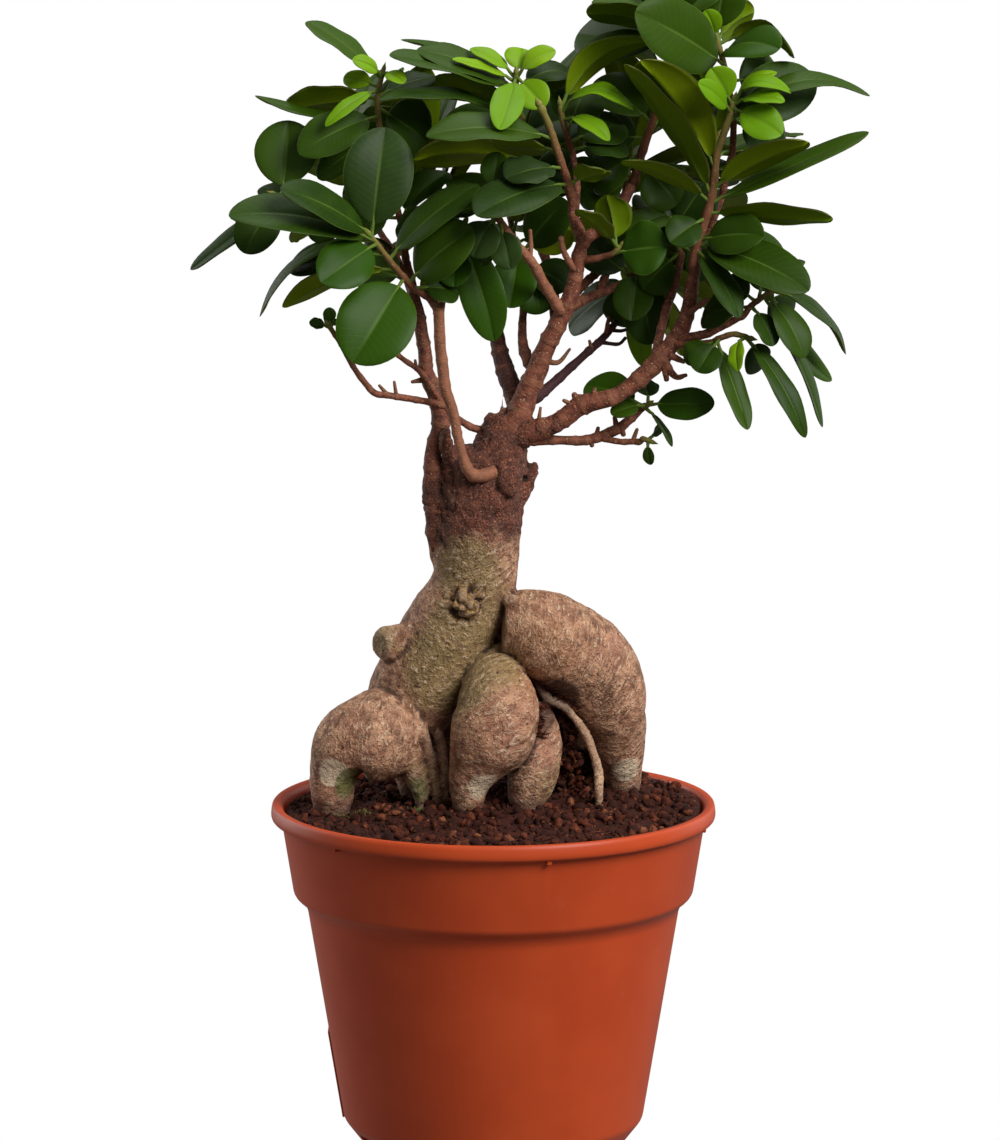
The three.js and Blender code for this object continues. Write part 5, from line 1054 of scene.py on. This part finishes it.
def make_shoots(finish):
    """Every shoot's twig and leaves as one piece, with the leaves that its solid has."""
    every = {**SHOOTS, **BACK_SHOOTS}
    for number, (name, shoot) in enumerate(every.items()):
        draw = np.random.default_rng(SEEDS["shoots"] + number)
        corners = places_of(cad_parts["shoot_" + name].data)
        centres, radii = twig_path(shoot)
        shell = Shell()
        add_twig(shell, centres, radii, draw)
        if "leaves" in shoot:
            leaves = front_leaves(shoot, centres, corners)
        else:
            leaves = back_leaves(shoot, centres, corners, dice(SEEDS["turns"] + number))
        for leaf in leaves:
            age = 0.12 * draw.random()
            if leaf["index"] in YOUNG.get(name, ()):
                age = draw.uniform(0.85, 1.0)
            elif leaf["index"] in FRESH.get(name, ()):
                age = draw.uniform(0.3, 0.5)
            add_leaf(shell, leaf, age, draw)
        shell.piece("leaves_" + name, finish, "leaf", ("shoot_" + name,), 75)


# Pot and soil

POT_SIDES = 192
POT_ROUNDING = 1.1
POT_MIDDLE = 0.5
SOIL_SIDES, SOIL_RINGS = 240, 84
SOIL_CLEARANCE = 0.25
# Where the soil's top ends, where its clods fade out, and where no more crumbs lie
SOIL_EDGE, CLODS_END, CRUMBS_END = 55.7, (53.5, 55.8), 54.6
# Crumbs on the soil and in the crevices, and mounds of loose soil before the right root and low
# behind it: how many, where across and deep, and how high
CRUMB_COUNT, CREVICE_COUNT = 2600, 320
MOUNDS = ((520, 17.5, 1, 30), (300, 25, 14, 12))
MOUND_FOOT = 91
# Moss: the middle of each patch, its half width and half depth, and its number of blades
MOSS = [((-36.5, -15.5), (3.4, 2.0), 200), ((-20.5, -15.5), (3.0, 2.0), 70)]


def softened(profile, radius):
    """A profile whose corners are rounded: each corner becomes the curve (1-t)^2 a + 2t(1-t) b +
    t^2 c between points at most the radius away from it."""
    profile = np.asarray(profile, float)
    points = [profile[:1]]
    t = np.linspace(0, 1, 4)[:, None]
    for before, corner, after in zip(profile[:-2], profile[1:-1], profile[2:]):
        reach = [min(radius, 0.4 * np.linalg.norm(end - corner)) for end in (before, after)]
        a = corner + unit(before - corner) * reach[0]
        c = corner + unit(after - corner) * reach[1]
        points.append((1 - t) ** 2 * a + 2 * t * (1 - t) * corner + t**2 * c)
    points.append(profile[-1:])
    return np.vstack(points)


def lathe_rings(profile, sides):
    """Rings of a profile of (radius, height) turned about the upright axis."""
    turn = turns(sides)
    radius, height = profile[:, :1], profile[:, 1:]
    flat = np.stack([radius * np.cos(turn), radius * np.sin(turn)], 2)
    return np.concatenate([flat, np.broadcast_to(height[:, :, None], (*flat.shape[:2], 1))], 2)


def box_rings(size, radius, height, turn, lean=0.0):
    """A block as two rings of four corners: leant about its own width, set at a radius and a height
    of the pot, and turned about the pot."""
    x, y, z = 0.5 * np.array(size)
    block = np.array([[[x, -y, c], [x, y, c], [-x, y, c], [-x, -y, c]] for c in (-z, z)])
    tilt = np.array([[math.cos(lean), 0, math.sin(lean)],
                     [0, 1, 0],
                     [-math.sin(lean), 0, math.cos(lean)]])
    spin = np.array([[math.cos(turn), -math.sin(turn), 0],
                     [math.sin(turn), math.cos(turn), 0],
                     [0, 0, 1]])
    return (block @ tilt.T + [radius, 0, height]) @ spin.T


def add_blocks(shell, row, size, height):
    """The blocks of a row, at even steps round the pot from its first one."""
    for i in range(row["count"]):
        turn = math.radians(row["first"] + 360 / row["count"] * i)
        shell.rings(box_rings(size, row["radius"], height, turn))


def make_pot(finish):
    """The turned wall with its lugs and its rib, cut by the notches."""
    wall = softened([point for point in POT_OUTSIDE + POT_INSIDE if point[0] > 0], POT_ROUNDING)
    under, floor = POT_OUTSIDE[0][1], POT_INSIDE[-1][1]
    profile = np.vstack([[[POT_MIDDLE, under]], wall, [[POT_MIDDLE, floor]]])
    shell = Shell()
    shell.rings(lathe_rings(profile, POT_SIDES))
    add_blocks(shell, LUGS, (LUGS["reach"], LUGS["width"], LUGS["drop"]), LUGS["top"] - LUGS["drop"] / 2)
    rib = SIDE_RIB
    shell.rings(box_rings(rib["size"], rib["radius"], rib["middle"], math.pi, rib["lean"]))
    whole = shell.piece("pot_blank", None, "pot_plastic")
    knives = Shell()
    add_blocks(knives, NOTCHES, (NOTCHES["depth"], NOTCHES["width"], 2 * NOTCHES["height"]), 0)
    knife = knives.piece("notch_blank", None, "pot_plastic")
    cut = whole.modifiers.new("notches", "BOOLEAN")
    cut.operation = "DIFFERENCE"
    cut.object = knife
    cut.solver = "EXACT"
    cut.use_self = True
    mesh = baked(whole, "pot_moulding")
    bpy.data.objects.remove(knife)
    finished(mesh, finish, ("pot",), 32)


def soil_height(x, y):
    """The soil's surface: a base, a heap that falls off with the square of the distance, a rise to
    the back right and two crossed waves."""
    out = np.hypot(x, y) / SOIL["radius"]
    side = SOIL["backRight"] * eased(x + y, 5, 60)
    grain = np.sin(x * 0.9 + 1.3) * np.sin(y * 0.8 + 0.4) + np.sin(x * 0.37 - y * 0.5)
    return SOIL["base"] + SOIL["heap"] * (1 - out**2) + side + SOIL["grain"] * grain * (1 - out**6)


def soil_top(x, y):
    """The soil's surface with its clods. They stop short of the pot's wall."""
    flat = np.stack([x, y, np.zeros_like(x)], 1)
    edge = 1 - eased(np.hypot(x, y), *CLODS_END)
    clods = layered(flat, (0.75, 4.2, 21), (0.55, 1.9, 22), (0.3, 0.9, 23))
    return soil_height(x, y) + edge * clods - 0.3


def soil_top_at(x, y):
    """The soil's surface at one place."""
    return soil_top(np.array([x]), np.array([y]))[0]


def make_soil(finish):
    """The bed of soil: a skin just inside the pot's wall, closed by its surface."""
    middle, floor = 0.8, POT_INSIDE[-1][1] + SOIL_CLEARANCE
    wall = [(radius - SOIL_CLEARANCE, max(height, floor)) for radius, height in POT_INSIDE[-2:0:-1]]
    sides = lathe_rings(np.array([(middle, floor), *wall, (55.5, 87.0)]), SOIL_SIDES)
    turn = turns(SOIL_SIDES)
    radii = np.linspace(SOIL_EDGE, middle, SOIL_RINGS)
    x, y = (radii[:, None] * np.cos(turn)).ravel(), (radii[:, None] * np.sin(turn)).ravel()
    top = np.stack([x, y, soil_top(x, y)], 1).reshape(SOIL_RINGS, SOIL_SIDES, 3)
    shell = Shell()
    rings = np.concatenate([sides, top])
    shell.rings(rings, crumb=np.full(rings.shape[:2], 0.35))
    shell.piece("soil_bed", finish, "soil", ("soil",))


def lump():
    """A ball of few faces: rings of latitude without the poles."""
    polar = np.linspace(0.35, np.pi - 0.35, 4)[:, None]
    turn = turns(6)
    ball = [np.sin(polar) * np.cos(turn), np.sin(polar) * np.sin(turn), -np.cos(polar) + 0 * turn]
    return np.stack(ball, 2)


def add_crumb(shell, centre, size, sliver, draw):
    """A crumb is a dented ball, stretched and turned at random; a sliver of peat is long and thin."""
    scale = size * draw.uniform(0.65, 1.25, 3)
    axes = draw.normal(0, 1, (3, 3))
    if sliver:
        scale = np.array([*draw.uniform(0.14, 0.3, 2), draw.uniform(1.2, 3.0)])
        axes[2, 2] *= 0.35
    turned_by = np.linalg.qr(axes[:, ::-1])[0][:, ::-1]
    turned_by[:, 0] *= np.sign(np.linalg.det(turned_by))
    ball = lump()
    dents = 1 + 0.22 * draw.normal(0, 1, ball.shape[:2])
    rings = (ball * dents[:, :, None] * scale) @ turned_by.T
    if np.hypot(*centre[:2]) + np.abs(rings[:, :, :2]).max() < SOIL_EDGE:
        shell.rings(rings + centre, crumb=np.full(ball.shape[:2], draw.random()))


def make_crumbs(finish, crevices):
    """Crumbs and fibres of peat at seeded places on the soil, more of them small than large, and
    small ones that cling in the crevices of the roots."""
    draw = np.random.default_rng(SEEDS["crumbs"])
    shell = Shell()
    for i in range(CRUMB_COUNT):
        radius = CRUMBS_END * math.sqrt(draw.random())
        turn = draw.uniform(0, 2 * np.pi)
        x, y = radius * math.cos(turn), radius * math.sin(turn)
        size = 0.42 + 1.25 * draw.random() ** 2.6
        height = soil_top_at(x, y) + 0.35 * size * draw.uniform(0.2, 1.2)
        add_crumb(shell, np.array([x, y, height]), size, i % 5 == 0, draw)
    for count, x, y, height in MOUNDS:
        for _ in range(count):
            up = draw.random() ** 1.4
            across, deep = draw.normal(size=2) * (1 - 0.5 * up)
            mound = np.array([x + 3.6 * across, y + 2.2 * deep, MOUND_FOOT + height * up])
            add_crumb(shell, mound, 0.5 + 0.7 * draw.random(), draw.random() < 0.1, draw)
    for place in crevices[draw.integers(0, len(crevices), CREVICE_COUNT)]:
        add_crumb(shell, place, 0.25 + 0.45 * draw.random() ** 2, draw.random() < 0.3, draw)
    shell.piece("soil_crumbs", finish, "soil")


def make_moss(finish):
    """Moss by the two left feet of the roots: short pointed blades that lean at random, densest in
    the middle of each patch."""
    draw = np.random.default_rng(SEEDS["moss"])
    shell = Shell()
    for (middle_x, middle_y), (wide, deep), count in MOSS:
        for _ in range(count):
            x, y = middle_x + wide * draw.normal(0, 0.45), middle_y + deep * draw.normal(0, 0.5)
            foot = np.array([x, y, soil_top_at(x, y) - 0.3])
            heading = unit(np.array([draw.normal(0, 0.5), draw.normal(-0.15, 0.5), 1.0]))
            tall = draw.uniform(0.7, 1.7)
            path = foot + heading * np.array([[0], [0.5 * tall], [tall]])
            path[2] += [draw.normal(0, 0.3), draw.normal(0, 0.3), 0]
            rings = tube_rings(path, np.array([0.26, 0.22, 0.05]), 4)
            shell.rings(rings, crumb=np.full(rings.shape[:2], draw.random()))
    shell.piece("moss", finish, "leaf")


# Finishes

class Value:
    """A socket that carries a number, in an expression: each operator adds its Math node."""

    def __init__(self, paint, socket):
        self.paint = paint
        self.socket = socket

    def __add__(self, other):
        return self.paint.maths("ADD", self, other)

    def __sub__(self, other):
        return self.paint.maths("SUBTRACT", self, other)

    def __rsub__(self, other):
        return self.paint.maths("SUBTRACT", other, self)

    def __mul__(self, other):
        return self.paint.maths("MULTIPLY", self, other)

    __radd__ = __add__
    __rmul__ = __mul__


class Paint:
    """A material as it is being mixed."""

    def __init__(self, name):
        self.material = bpy.data.materials.new(name)
        self.material.use_nodes = True
        self.tree = self.material.node_tree
        self.tree.nodes.clear()
        self.object_place = self.add("ShaderNodeTexCoord").outputs["Object"]

    def add(self, kind, settings=None, inputs=None):
        """A node of a type, with its settings first and then its sockets' values or links."""
        node = self.tree.nodes.new(kind)
        for key, setting in (settings or {}).items():
            if key == "stops":
                self.set_stops(node.color_ramp.elements, setting)
            else:
                setattr(node, key, setting)
        for key, value in (inputs or {}).items():
            self.feed(node.inputs[key], value)
        return node

    def set_stops(self, elements, stops):
        while len(elements) < len(stops):
            elements.new(0.5)
        for element, (position, colour) in zip(elements, stops):
            element.position = position
            element.color = (*colour, 1)

    def feed(self, socket, value):
        if isinstance(value, Value):
            value = value.socket
        if isinstance(value, bpy.types.NodeSocket):
            self.tree.links.new(value, socket)
        elif isinstance(value, tuple) and len(value) == 3 and socket.type == "RGBA":
            socket.default_value = (*value, 1)
        else:
            socket.default_value = value

    def maths(self, operation, *operands):
        node = self.add("ShaderNodeMath", {"operation": operation}, dict(enumerate(operands)))
        return Value(self, node.outputs[0])

    def mix(self, share, first, second):
        """Two colours mixed by a share."""
        settings = {"data_type": "RGBA", "clamp_factor": True}
        inputs = {0: share, 6: linear(first), 7: linear(second)}
        return self.add("ShaderNodeMix", settings, inputs).outputs[2]

    def layers(self, colour, *layers):
        """A colour with others laid over it in turn, each by its share."""
        for share, over in layers:
            colour = self.mix(share, colour, over)
        return colour

    def spots(self, size, detail=3.0, rough=0.55, vector=None, seed=0.0):
        """Noise from 0 to 1 with features of a size in millimetres, or of a size in the vector's own
        measure."""
        place = self.object_place if vector is None else vector
        scale = 1 / (size * MM) if vector is None else 1 / size
        if seed:
            inputs = {0: place, 1: (seed, seed * 0.7, seed * 1.3)}
            place = self.add("ShaderNodeVectorMath", {"operation": "ADD"}, inputs).outputs[0]
        inputs = {"Vector": place, "Scale": scale, "Detail": detail, "Roughness": rough}
        return Value(self, self.add("ShaderNodeTexNoise", {}, inputs).outputs["Fac"])

    def step(self, value, low, high):
        """0 below low and 1 above high with an eased rise between; low may be the larger one."""
        settings = {"interpolation_type": "SMOOTHSTEP", "clamp": True}
        inputs = {"Value": value, "From Min": min(low, high), "From Max": max(low, high)}
        if low > high:
            inputs.update({"To Min": 1.0, "To Max": 0.0})
        return Value(self, self.add("ShaderNodeMapRange", settings, inputs).outputs[0])

    def attribute(self, name):
        """The sockets of an attribute of the mesh: number, vector and alpha."""
        outputs = self.add("ShaderNodeAttribute", {"attribute_name": name}).outputs
        return Value(self, outputs["Fac"]), outputs["Vector"], Value(self, outputs["Alpha"])

    def parts(self, vector):
        """The three numbers of a vector."""
        node = self.add("ShaderNodeSeparateXYZ", {}, {0: vector})
        return [Value(self, output) for output in node.outputs]

    def bump(self, height, depth_mm, strength):
        inputs = {"Height": height, "Distance": depth_mm * MM, "Strength": strength}
        return self.add("ShaderNodeBump", {}, inputs).outputs[0]

    def done(self, colour, roughness, normal=None, constants=None):
        """The finished surface. Constants are set on the shader's own sockets."""
        inputs = {"Base Color": colour, "Roughness": roughness, **(constants or {})}
        if normal is not None:
            inputs["Normal"] = normal
        shader = self.add("ShaderNodeBsdfPrincipled", {}, inputs)
        output = self.add("ShaderNodeOutputMaterial")
        self.tree.links.new(shader.outputs[0], output.inputs[0])
        return self.material


def linear(colour):
    """A display colour of three numbers from 0 to 255 as the linear one that a shader takes. A
    socket stays as it is."""
    if not isinstance(colour, tuple):
        return colour
    display = np.array(colour) / 255
    bright = ((display + 0.055) / 1.055) ** 2.4
    return tuple(float(part) for part in np.where(display < 0.04045, display / 12.92, bright))


# The bark of young wood, dark and light, and the shine of each material
YOUNG_BARK = ((80, 40, 28), (134, 76, 55))
SHINE = {name: {"Specular IOR Level": level} for name, level in (
    ("pot", 0.26), ("bark", 0.35), ("branch", 0.3), ("leaf", 0.1), ("soil", 0.2))}


def pot_finish():
    """Satin terracotta plastic, a little cloudy and dusty."""
    paint = Paint("terracotta_plastic")
    broad = paint.spots(26, 2)
    grain = paint.spots(0.45, 2)
    dust = paint.step(paint.spots(5, 4, 0.6, seed=3.0), 0.56, 0.8)
    colour = paint.mix(paint.step(broad, 0.35, 0.7), (176, 64, 26), (184, 70, 31))
    colour = paint.mix(dust * 0.07, colour, (190, 116, 90))
    roughness = 0.38 + 0.08 * grain + 0.05 * broad
    normal = paint.bump(grain * 0.5 + broad * 2.0, 0.05, 0.5)
    return paint.done(colour, roughness, normal, SHINE["pot"])


def bark_finish():
    """Grey-brown root bark: mottling, fine pale dashes across the limb, green and warm patches, a dark
    red-brown graft, a warty knot, pale worn feet, soil in the cleft by the right root, painted shade in
    the crevices, in that cleft and on the foot of a branch behind, and painted highlight on raised
    bumps."""
    paint = Paint("root_bark")
    hollow = paint.attribute("hollow")[0]
    fine_hollow = paint.attribute("fine_hollow")[0]
    across = paint.attribute("across_grain")[1]
    _, zones, low = paint.attribute("zones")
    graft, olive, warm = paint.parts(zones)
    _, patches, dirt_and_shade = paint.attribute("patches")
    moss, pale, knot = paint.parts(patches)
    limbs, behind, _ = paint.parts(paint.attribute("limb")[1])
    mottle = paint.spots(3.2, 4, 0.6)
    broad = paint.spots(11, 3, seed=1.0)
    dashes = paint.spots(0.8, 2, 0.6, vector=across)
    broken = paint.step(paint.spots(1.5, 2, 0.6, seed=9.0), 0.42, 0.56)
    grain = paint.spots(0.5, 3, 0.7, seed=2.0)
    pits = paint.step(paint.spots(1.1, 2, 0.5, seed=12.0), 0.36, 0.3)
    blotch = paint.step(paint.spots(4.5, 3, seed=7.0), 0.45, 0.62)
    flecks = paint.step(paint.spots(0.8, 2, seed=5.0), 0.60, 0.70)
    dots = paint.step(paint.spots(0.9, 2, seed=8.0), 0.54, 0.64)
    seam = paint.step(graft + (mottle - 0.5) * 1.1, 0.2, 0.9)
    # painted highlight: the raised bumps of the lower bark are lightened
    raised_highlight = paint.step(fine_hollow, -0.1, -1.0) * (1 - seam) * (1 - limbs)
    scaly = paint.layers(
        paint.mix(paint.step(grain, 0.35, 0.65), (50, 20, 13), (132, 70, 50)),
        (blotch * 0.6, (58, 24, 20)),
        (flecks * 0.75, (178, 126, 98)),
    )
    young = paint.layers(
        paint.mix(paint.step(mottle, 0.3, 0.7), *YOUNG_BARK),
        (flecks * 0.5, (188, 142, 112)),
        # painted shade on the foot of the branch behind the trunk
        (behind * 0.8, (62, 34, 30)),
    )
    colour = paint.layers(
        paint.mix(paint.step(mottle, 0.32, 0.68), (114, 72, 48), (198, 150, 116)),
        (paint.step(broad, 0.42, 0.68) * 0.6, (166, 112, 88)),
        (warm * paint.step(broad, 0.3, 0.6) * 0.7, (172, 120, 80)),
        (paint.step(olive + (mottle - 0.5) * 0.9, 0.25, 0.75) * 0.7, (130, 114, 66)),
        (paint.step(dashes, 0.52, 0.66) * broken * 0.75, (212, 184, 154)),
        (paint.step(dashes, 0.47, 0.36) * broken * 0.55, (80, 52, 38)),
        (paint.step(grain, 0.47, 0.36) * 0.7, (70, 44, 34)),
        (pits * 0.8, (52, 30, 24)),
        (seam * 0.92, scaly),
        (limbs, young),
        (paint.step(knot, 0.35, 0.8) * 0.8, paint.mix(dots, (96, 66, 36), (184, 134, 54))),
        (paint.step(pale + (mottle - 0.5) * 0.8, 0.35, 0.8) * 0.8, (216, 196, 166)),
        (paint.step(moss + (grain - 0.5), 0.45, 0.9) * 0.8, (80, 88, 34)),
        (paint.step(low + (mottle - 0.5) * 1.2, 0.45, 1.0) * 0.7, (62, 38, 28)),
        # soil clinging between the inner and the right root, with painted shade in that cleft
        (paint.step(dirt_and_shade + (grain - 0.5) * 1.4, 0.4, 0.7) * 0.85, (58, 30, 22)),
        # painted shade in the deep crevices between the roots
        (paint.step(hollow, 0.12, 0.8) * 0.9, (38, 22, 17)),
        # painted shade in the fine hollows
        (paint.step(fine_hollow, 0.1, 1.0) * 0.6, (54, 34, 26)),
        # painted highlight on the raised bumps
        (raised_highlight * 0.25, (208, 180, 150)),
    )
    height = dashes * broken + grain * 0.8 + mottle * 0.5 + graft * grain * 1.2
    return paint.done(colour, 0.62 + 0.2 * mottle, paint.bump(height, 0.5, 0.8), SHINE["bark"])


def branch_finish():
    """Red-brown bark with pale pores, lighter rings where leaves stood, and greener young ends. Some
    branches are paler, and a few thin ones deep in the crown carry painted shade that makes them nearly
    black."""
    paint = Paint("branch_bark")
    across = paint.attribute("across_grain")[1]
    scar, tip, dark = paint.parts(paint.attribute("growth")[1])
    mottle = paint.spots(2.2, 4, 0.6)
    dashes = paint.spots(0.8, 3, 0.6, vector=across)
    pores = paint.step(paint.spots(0.55, 2, 0.5, seed=4.0), 0.6, 0.7)
    colour = paint.layers(
        paint.mix(paint.step(mottle, 0.3, 0.7), *YOUNG_BARK),
        (paint.step(dashes, 0.55, 0.75) * 0.5, (158, 108, 80)),
        (pores * 0.7, (204, 160, 124)),
        (scar * 0.35, (156, 108, 74)),
        (paint.step(tip, 0.6, 1.0) * 0.3, (118, 94, 58)),
        (paint.step(dark, 0.12, 0.0) * 0.4, (160, 108, 78)),
        # painted shade, nearly black on the branches deep in the crown
        (paint.step(dark, 0.3, 1.0) * 0.9, (50, 24, 30)),
    )
    normal = paint.bump(dashes + pores * 0.8 + mottle, 0.35, 0.8)
    return paint.done(colour, 0.6 + 0.2 * mottle, normal, SHINE["branch"])


def leaf_finish():
    """Waxy leaves: dark green with a painted grey sheen on a few, yellow-green while young, olive
    beneath and brightened there by painted light shining through, with a slim midrib, hardly visible
    side veins and a thin rim. The stalks and twigs share it."""
    paint = Paint("leaf_wax")
    u, v, _ = paint.parts(paint.add("ShaderNodeUVMap", {"uv_map": "grown"}).outputs[0])
    _, tone, own = paint.attribute("tone")
    age, chance, side = paint.parts(tone)
    reach = paint.maths("ABSOLUTE", u * 2 - 1)
    under = paint.step(side, 0.85, 0.95)
    wood = paint.step(side, 0.35, 0.45) * (1 - paint.step(side, 0.6, 0.7))
    stalk = paint.step(side, 0.65, 0.72) * (1 - paint.step(side, 0.78, 0.84))
    # side veins leave the midrib at a slant and bend towards the tip
    wave = paint.maths("FRACT", v * 15 - reach * 2.6 + paint.spots(5, 1) * 0.35)
    vein = paint.step(paint.maths("ABSOLUTE", wave - 0.5), 0.09, 0.02) * paint.step(reach, 0.97, 0.8)
    midrib = paint.step(reach, 0.06, 0.015) * paint.step(v, 0.95, 0.5)
    rim = paint.step(reach, 0.97, 0.995)
    cloud = paint.spots(7, 3)
    fine = paint.spots(0.7, 2)
    dark = paint.layers(
        paint.mix(chance, (26, 47, 4), (48, 72, 6)),
        (paint.step(cloud, 0.35, 0.7) * 0.4, (46, 70, 8)),
        # painted sheen: a grey cast on the leaves whose own draw is high
        (paint.step(own, 0.75, 0.95) * 0.5, (44, 58, 34)),
    )
    # the underside's own olive, made brighter and yellower as painted light shining through the leaf
    below = paint.layers(
        paint.mix(chance, (88, 112, 2), (112, 130, 6)),
        (paint.step(age, 0.3, 0.9), (128, 158, 48)),
        (vein * 0.12, (60, 80, 10)),
        (midrib * 0.5, (104, 120, 50)),
    )
    bark = paint.layers(
        paint.mix(paint.step(age, 0.25, 0.95), (106, 66, 46), (112, 112, 52)),
        (paint.step(fine, 0.58, 0.7) * 0.5, (168, 130, 98)),
    )
    colour = paint.layers(
        dark,
        (paint.step(age, 0.12, 0.45), paint.mix(chance, (34, 64, 2), (42, 72, 4))),
        (paint.step(age, 0.5, 0.9), paint.mix(chance, (88, 128, 8), (112, 148, 14))),
        (vein * 0.08, (84, 118, 58)),
        (midrib * 0.35, (96, 122, 50)),
        (rim * 0.35, (100, 122, 54)),
        (under, below),
        (stalk, (88, 108, 40)),
        (wood, bark),
    )
    roughness = 0.42 + 0.10 * cloud + 0.18 * under + 0.25 * wood - 0.05 * own
    normal = paint.bump(vein * -0.06 + fine * 0.08 + cloud * 0.6, 0.2, 0.6)
    return paint.done(colour, roughness, normal, SHINE["leaf"])


def soil_finish():
    """Peat: dark brown with redder and paler crumbs."""
    paint = Paint("peat")
    crumb = paint.attribute("crumb")[0]
    mottle = paint.spots(1.6, 4, 0.7)
    broad = paint.spots(9, 2, seed=2.0)
    stops = [(0.0, linear((28, 11, 6))), (0.5, linear((62, 26, 15))), (0.82, linear((98, 46, 27))),
             (1.0, linear((146, 94, 62)))]
    base = paint.add("ShaderNodeValToRGB", {"stops": stops}, {0: crumb * 0.75 + mottle * 0.3})
    colour = paint.layers(
        base.outputs[0],
        (paint.step(mottle, 0.55, 0.35) * 0.7, (26, 12, 9)),
        (paint.step(broad, 0.5, 0.8) * 0.3, (84, 42, 28)),
    )
    return paint.done(colour, 0.9, paint.bump(mottle, 0.5, 0.9), SHINE["soil"])


def moss_finish():
    """Moss, whose blades run from a dark to a light green."""
    paint = Paint("moss_green")
    crumb = paint.attribute("crumb")[0]
    return paint.done(paint.mix(crumb, (46, 54, 18), (98, 102, 36)), 0.85)


def floor_finish():
    """A floor that glows plain white and takes no shadow, as the photo shows none."""
    paint = Paint("studio_floor")
    return paint.done((0.0, 0.0, 0.0), 1.0, None, {
        "Emission Color": (1.0, 1.0, 1.0, 1.0), "Emission Strength": 1.0, "Specular IOR Level": 0.0})


# Studio

FLOOR_REACH = 14.0
AIR_STRENGTH = 0.22
LIGHTS_AIM = 0.17
# Soft boxes: azimuth to the right of the front and elevation in degrees, distance, width and
# height in metres, and power
LIGHTS = {
    "key": (44, 36, 1.6, 0.8, 0.8, 33),
    "left_edge": (-125, 12, 1.5, 1.1, 1.2, 11),
    "right_edge": (125, 12, 1.5, 0.9, 1.2, 5),
    "top": (150, 78, 1.4, 1.0, 1.0, 12),
}
# The photo's view: its camera's distance, what it aims at, how far it looks down, the width of a
# pixel at the aim, and the photo's height in pixels
CAMERA = {"distance": 1.6, "aim": (0.0018, 0.0, 0.15517), "down": 9.278, "pixel": 0.000268,
          "height": 1140, "sensor": 36.0}


def make_floor():
    """The floor is seen by the camera alone, so that it throws no light up at the pot."""
    mesh = bpy.data.meshes.new("studio_floor")
    reach = FLOOR_REACH
    corners = [(-reach, -reach, 0), (reach, -reach, 0), (reach, reach, 0), (-reach, reach, 0)]
    mesh.from_pydata(corners, [], [(0, 1, 2, 3)])
    mesh.materials.append(floor_finish())
    floor = placed("studio_floor", mesh)
    floor.visible_diffuse = False
    floor.visible_glossy = False
    floor.visible_shadow = False


def soft_light(name, azimuth, elevation, distance, width, height, power):
    """A soft box that shines at the plant."""
    light = bpy.data.lights.new(name, "AREA")
    light.shape = "RECTANGLE"
    light.size, light.size_y = width, height
    light.energy = power
    turn, rise = math.radians(azimuth), math.radians(elevation)
    flat = distance * math.cos(rise)
    lamp = placed(name, light)
    lamp.location = (flat * math.sin(turn), -flat * math.cos(turn),
                     LIGHTS_AIM + distance * math.sin(rise))
    lamp.rotation_euler = (math.pi / 2 - rise, 0, turn)


def make_studio():
    """White air, four soft boxes and the floor."""
    world = bpy.data.worlds.new("studio_air")
    world.use_nodes = True
    air = world.node_tree.nodes["Background"]
    air.inputs["Color"].default_value = (1.0, 1.0, 1.0, 1.0)
    air.inputs["Strength"].default_value = AIR_STRENGTH
    bpy.context.scene.world = world
    for name, light in LIGHTS.items():
        soft_light(name, *light)
    make_floor()


def make_camera():
    """The camera of the photo's view, behind its aim by the distance."""
    down, distance, aim = math.radians(CAMERA["down"]), CAMERA["distance"], CAMERA["aim"]
    camera = bpy.data.cameras.new("photo_view")
    camera.sensor_width = CAMERA["sensor"]
    camera.lens = CAMERA["sensor"] * distance / (CAMERA["pixel"] * CAMERA["height"])
    camera.clip_end = 60
    eye = placed("photo_view", camera)
    eye.location = (aim[0], -distance * math.cos(down), aim[2] + distance * math.sin(down))
    eye.rotation_euler = (math.pi / 2 - down, 0, 0)
    bpy.context.scene.camera = eye
    bpy.context.scene.view_settings.view_transform = "Standard"


peat = soil_finish()
make_pot(pot_finish())
make_soil(peat)
crevices = make_root_wood(bark_finish())
make_crumbs(peat, crevices)
make_branch_wood(branch_finish())
make_shoots(leaf_finish())
make_moss(moss_finish())
make_studio()
make_camera()
